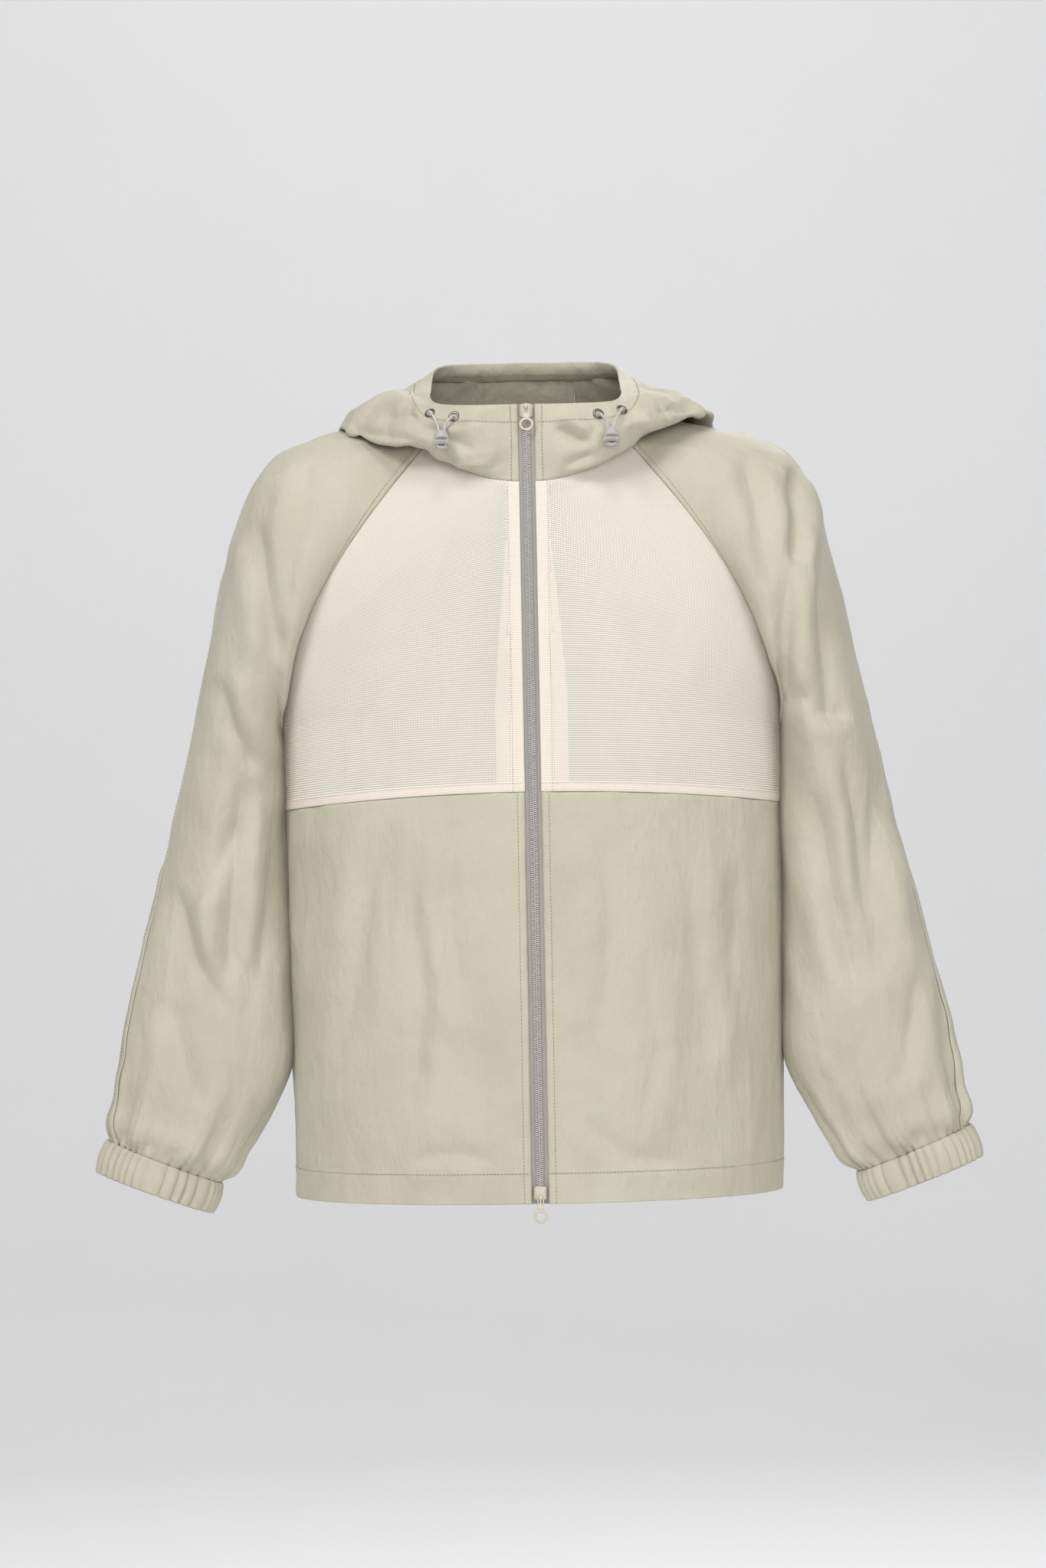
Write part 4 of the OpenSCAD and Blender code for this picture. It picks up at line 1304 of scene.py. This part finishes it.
def rim_casing():
    """The rim's turned-in layer, bulged by the cord it holds."""
    def surface(s, drop):
        return sided(hood_point(np.abs(s), below_rim(np.abs(s), drop)), s > 0)

    columns = from_zip_to_zip(0.12, 180)
    drops = np.concatenate([[0.0], np.linspace(0.0006, 0.0165, 18)])
    panel = grid_panel(surface, columns, drops)
    drop = np.meshgrid(columns, drops)[1]
    inward = 0.0002 + 0.0022 * np.sin(np.clip(drop / 0.0155, 0, 1) * math.pi) ** 0.8
    p = panel.points.reshape(-1, 3)
    ripple = (0.0007 * crinkle(p, 111, 0.016, (1, 1, 1))).reshape(drop.shape) * smooth(drop / 0.004)
    # Seen from inside the neck, the grid's own normal points into the neck
    panel.raise_by(inward + ripple)
    seam = np.abs(drop - CASING_STITCHES[0])
    piece = panel.piece("rim_casing", SHELL, ["hood_rim_casing", "hood_drawcord"], seam=seam)
    for distance in CASING_STITCHES:
        panel.stitch("bottom", distance)


hood()
rim_casing()


# Inner trim


def inner_trim():
    for side, flip in SIDES:
        panel = grid_panel(front_point, np.linspace(0.002, 0.065, 9), np.linspace(0.002, 0.998, 200), flip)
        panel.raise_by(-0.0011 + 0 * panel.across)
        piece = panel.piece(
            f"{side}_zip_strip", FACING, [f"{side}_zip_facing"], slot="mesh", thickness=LINING_T,
        )

        def bag(a, b):
            u, v = mix(0.5, 0.985, a), mix(0.135, 0.475, b)
            p = front_point(u, v)
            across = front_point(u + 0.01, v) - front_point(u - 0.01, v)
            n = np.cross(across, [0, 0, 1.0])
            n /= np.linalg.norm(n, axis=1, keepdims=True)
            swell = np.sqrt(
                np.maximum(np.sin(math.pi * b), 0) * np.sin(math.pi / 2 * np.minimum(1, 1.6 * a))
                * np.minimum(1, 8 * (1 - a))
            )
            return p - n * (0.0022 + 0.012 * swell)[:, None]

        panel = grid_panel(bag, np.linspace(0, 1, 40), np.linspace(0, 1, 60), flip)
        panel.raise_by(0.6 * creased(panel, 0.0016, 121))
        piece = panel.piece(
            f"{side}_pocket_lining", LINING, [f"{side}_pocket_bag"], slot="mesh", thickness=LINING_T,
        )

    def tape(s, drop):
        return sided(neck_point(np.abs(s)) - np.stack([0 * s, 0 * s, drop], 1), s > 0)

    panel = grid_panel(tape, from_zip_to_zip(0.3, 100), np.linspace(0.012, 0.002, 5))
    panel.raise_by(-0.0014 + 0 * panel.across)
    piece = panel.piece("nape_tape", TAPE, ["neck_tape"], slot="zip_tape")

    def loop(t, h):
        swing = np.sin(math.pi * np.clip(t, 0, 1))
        return np.stack([mix(-0.026, 0.026, t), 0.0825 - 0.009 * swing, 0.619 + h - 0.004 * swing], 1)

    panel = grid_panel(loop, np.linspace(0, 1, 60), np.linspace(0, 0.008, 5))
    piece = panel.piece("hanger_loop", TAPE, ["hang_loop"], slot="zip_tape", thickness=0.0009)


inner_trim()


# Zip


ZIP_LEAN = math.atan(ZIP_SLOPE)
ZIP_LENGTH = ZIP_TOP_H / math.cos(ZIP_LEAN)


def along_zip(h):
    """The zip's own frame: X across, -Y out, Z up the tape."""
    return Matrix.Translation((0, ZIP_HEM_Y + ZIP_SLOPE * h, h)) @ Matrix.Rotation(-ZIP_LEAN, 4, "X")


def zip_frame(points, h=0.0):
    turn = np.array(along_zip(h))
    return points @ turn[:3, :3].T + turn[:3, 3]


# The coil's teeth: a slanting leg and a head each, as (width, depth, height, 1)
COIL_PITCH = 0.00155
COIL_Y = -0.0010
FIRST_TOOTH_H = 0.0034
LEG_X, LEG_SIZE, LEG_SLANT = 0.00168, (0.00186, 0.0006, 0.00052, 1), math.radians(-14)
HEAD_X, HEAD_SIZE = 0.0003, (0.00062, 0.0009, 0.00062, 1)
STOP_SIZE = (0.0026, 0.0021, 0.0032)
# The sliders and their pulls, from the zip's middle plane
PLATE_Y = 0.0003 - 0.0021 - 0.0019
BACK_PLATE_Y = 0.0003 + 0.0006 + 0.0003 + 0.0005
PLATE_LENGTH = 0.011
FLANGE_SIZE = (0.0009, 0.0036, 0.0092)
WEDGE_SIZE = (0.0008, 0.0052, 0.0032)
BRIDGE_H = 0.0036
BRIDGE_SIZE = (0.0022, 0.0009, 0.0026)
BRIDGE_LEG_SIZE = (0.0022, 0.0026, 0.0008)
PULL_Y = 0.0003 - 0.0021 - 0.0033
BAR_R = 0.0007
ARM_SIZE = (0.0011, 0.0012, 0.0064)
TAB_SIZE = (0.0053, 0.0012, 0.0042)
RING_Z, RING_HALF_W, RING_HALF_H, RING_STEPS = -0.0145, 0.00475, 0.00455, 48


def zip_parts():
    for side, sign in (("left", -1), ("right", 1)):
        across = np.linspace(0.0006, 0.0156, 13)

        def tape(x, z):
            ripple = 0.00012 * np.sin(z / 0.0021 + x * 900)
            return zip_frame(np.stack([x, 0.0003 - ripple + 0 * x, z], 1))

        panel = grid_panel(tape, across, np.linspace(0.0002, ZIP_LENGTH - 0.0002, 400), flip=sign < 0)
        piece = panel.piece(f"{side}_woven_tape", TAPE, [f"{side}_zip_tape"], slot="zip_tape")

        bm = bmesh.new()
        zip_foot = along_zip(0)
        slant = Matrix.Rotation(sign * LEG_SLANT, 4, "Y")
        for k in range(int((ZIP_LENGTH - 0.009) / COIL_PITCH)):
            h = FIRST_TOOTH_H + (k + (0.5 if sign > 0 else 0)) * COIL_PITCH
            leg = Matrix.Translation((sign * LEG_X, COIL_Y, h)) @ slant @ Matrix.Diagonal(LEG_SIZE)
            head = Matrix.Translation((sign * HEAD_X, COIL_Y, h + 0.0001)) @ Matrix.Diagonal(HEAD_SIZE)
            add_bead(bm, zip_foot @ leg)
            add_bead(bm, zip_foot @ head)
        finished(bm, f"{side}_coil", COIL, "garment", [f"{side}_zip_coil"])

    bm = bmesh.new()
    for sign in (-1, 1):
        place = along_zip(0) @ Matrix.Translation((sign * 0.002, -0.0008, ZIP_LENGTH - 0.0029))
        rounded_block(bm, STOP_SIZE, place, 0.0006)
    finished(bm, "top_end_stops", COIL, "garment", ["zip_top_stops"])


def shield_plate(bm, y, depth, end):
    """One of a slider's two plates: wide at its wedge end, narrower where the closed chain leaves."""
    made = bmesh.ops.create_grid(bm, x_segments=10, y_segments=14, size=0.5)
    verts = made["verts"]
    for vert in verts:
        up = vert.co.y * 2 * end
        half = 0.0049 - 0.0006 * smooth(np.array(-up * 0.9)) - 0.0012 * max(0, up - 0.55) ** 2 * 5
        half *= math.sqrt(max(0.0, 1 - max(0, abs(vert.co.y) * 2 - 0.8) ** 2 * 6))
        crown = 0.00035 * (1 - (vert.co.x * 2) ** 2)
        vert.co = (vert.co.x * 2 * half, y - (crown if y < 0 else 0), vert.co.y * PLATE_LENGTH)
    faces = list({f for v in verts for f in v.link_faces})
    extruded = bmesh.ops.extrude_face_region(bm, geom=faces)
    moved = [g for g in extruded["geom"] if isinstance(g, bmesh.types.BMVert)]
    bmesh.ops.translate(bm, verts=moved, vec=(0, depth, 0))


def slider(which, here, end):
    bm = bmesh.new()
    shield_plate(bm, PLATE_Y + 0.00065, 0.0013, end)
    shield_plate(bm, BACK_PLATE_Y, 0.0009, end)
    for sign in (-1, 1):
        rounded_block(bm, FLANGE_SIZE, Matrix.Translation((sign * 0.00435, PLATE_Y + 0.0018, 0)), 0.0003)
    wedge = Matrix.Translation((0, PLATE_Y + 0.0027, end * BRIDGE_H))
    rounded_block(bm, WEDGE_SIZE, wedge, 0.00025)
    # The bridge that holds the pull's bar
    bmesh.ops.recalc_face_normals(bm, faces=bm.faces)
    bridge = Matrix.Translation((0, PLATE_Y - 0.0026, end * BRIDGE_H))
    rounded_block(bm, BRIDGE_SIZE, bridge, 0.00035)
    for up in (-1, 1):
        leg = Matrix.Translation((0, PLATE_Y - 0.0013, end * BRIDGE_H + up * 0.0016))
        rounded_block(bm, BRIDGE_LEG_SIZE, leg, 0.0003)
    bmesh.ops.transform(bm, matrix=here, verts=bm.verts)
    finished(bm, f"{which}_enamelled_slider", ENAMEL, f"{which}_slider", [f"{which}_slider"])


def pull(which, here, end):
    """A cross bar with two arms, the tab that joins them, and an oval ring."""
    bm = bmesh.new()
    bmesh.ops.create_cone(
        bm, cap_ends=True, segments=20, radius1=BAR_R, radius2=BAR_R, depth=0.005,
        matrix=Matrix.Rotation(math.pi / 2, 4, "Y"),
    )
    for sign in (-1, 1):
        rounded_block(bm, ARM_SIZE, Matrix.Translation((sign * 0.0021, 0, -0.0031)), 0.0004)
    rounded_block(bm, TAB_SIZE, Matrix.Translation((0, 0, -0.0076)), 0.0005)
    section = [
        (0.00105 * math.cos(b), 0.0007 * math.sin(b)) for b in (2 * math.pi * k / 12 for k in range(12))
    ]
    loops = []
    for a in (2 * math.pi * k / RING_STEPS for k in range(RING_STEPS)):
        flatter = 0.92 if math.sin(a) > 0 else 1.0
        point = Vector((RING_HALF_W * math.cos(a), 0, RING_Z + RING_HALF_H * math.sin(a) * flatter))
        out = Vector((point.x, 0, point.z - RING_Z)).normalized()
        ring = [bm.verts.new(point + out * w + Vector((0, d, 0))) for w, d in section]
        loops.append([bm.edges.new((ring[m], ring[(m + 1) % 12])) for m in range(12)])
    for k in range(RING_STEPS):
        bmesh.ops.bridge_loops(bm, edges=loops[k] + loops[(k + 1) % RING_STEPS])
    bmesh.ops.recalc_face_normals(bm, faces=bm.faces)
    at = here @ Matrix.Translation((0, PULL_Y, end * BRIDGE_H))
    bmesh.ops.transform(bm, matrix=at, verts=bm.verts)
    finished(bm, f"{which}_ring_pull", ENAMEL, f"{which}_pull", [f"{which}_pull"])


zip_parts()
for which, height, end in (("top", TOP_SLIDER_H, 1), ("bottom", BOTTOM_SLIDER_H, -1)):
    slider(which, along_zip(height), end)
    pull(which, along_zip(height), end)


# Eyelets


def eyelets():
    profile = [
        (0.0024, -0.0005), (0.0024, 0.0011), (0.0026, 0.0015), (0.0031, 0.00175), (0.0037, 0.0017),
        (0.0043, 0.0013), (0.00465, 0.0008), (0.0044, 0.0007), (0.0030, 0.0007), (0.0029, 0.0004),
        (0.0029, -0.0005),
    ]
    for side, flip in SIDES:
        for which, station in (("inner", INNER_EYELET), ("outer", OUTER_EYELET)):
            s = np.array([station])
            v = below_rim(s, EYELET_DROP)
            step = 0.05
            across = hood_point(s + step, v) - hood_point(s - step, v)
            up = hood_point(s, v + step) - hood_point(s, v - step)
            normal = np.cross(across, up)[0]
            normal /= np.linalg.norm(normal)
            centre = hood_point(s, v)[0]
            if flip:
                normal, centre = normal * [-1, 1, 1], centre * [-1, 1, 1]
            bm = spun(profile)
            turn = Vector((0, 0, 1)).rotation_difference(Vector(normal)).to_matrix().to_4x4()
            bmesh.ops.transform(bm, matrix=Matrix.Translation(Vector(centre)) @ turn, verts=bm.verts)
            finished(
                bm, f"{side}_{which}_rolled_eyelet", NICKEL, "garment",
                [f"{side}_{which}_eyelet"],
            )


eyelets()


# Stitching


stitched("khaki_topstitching", STITCHES["khaki"], SHADED_KHAKI_THREAD)
stitched("cream_topstitching", STITCHES["cream"], SHADED_CREAM_THREAD)
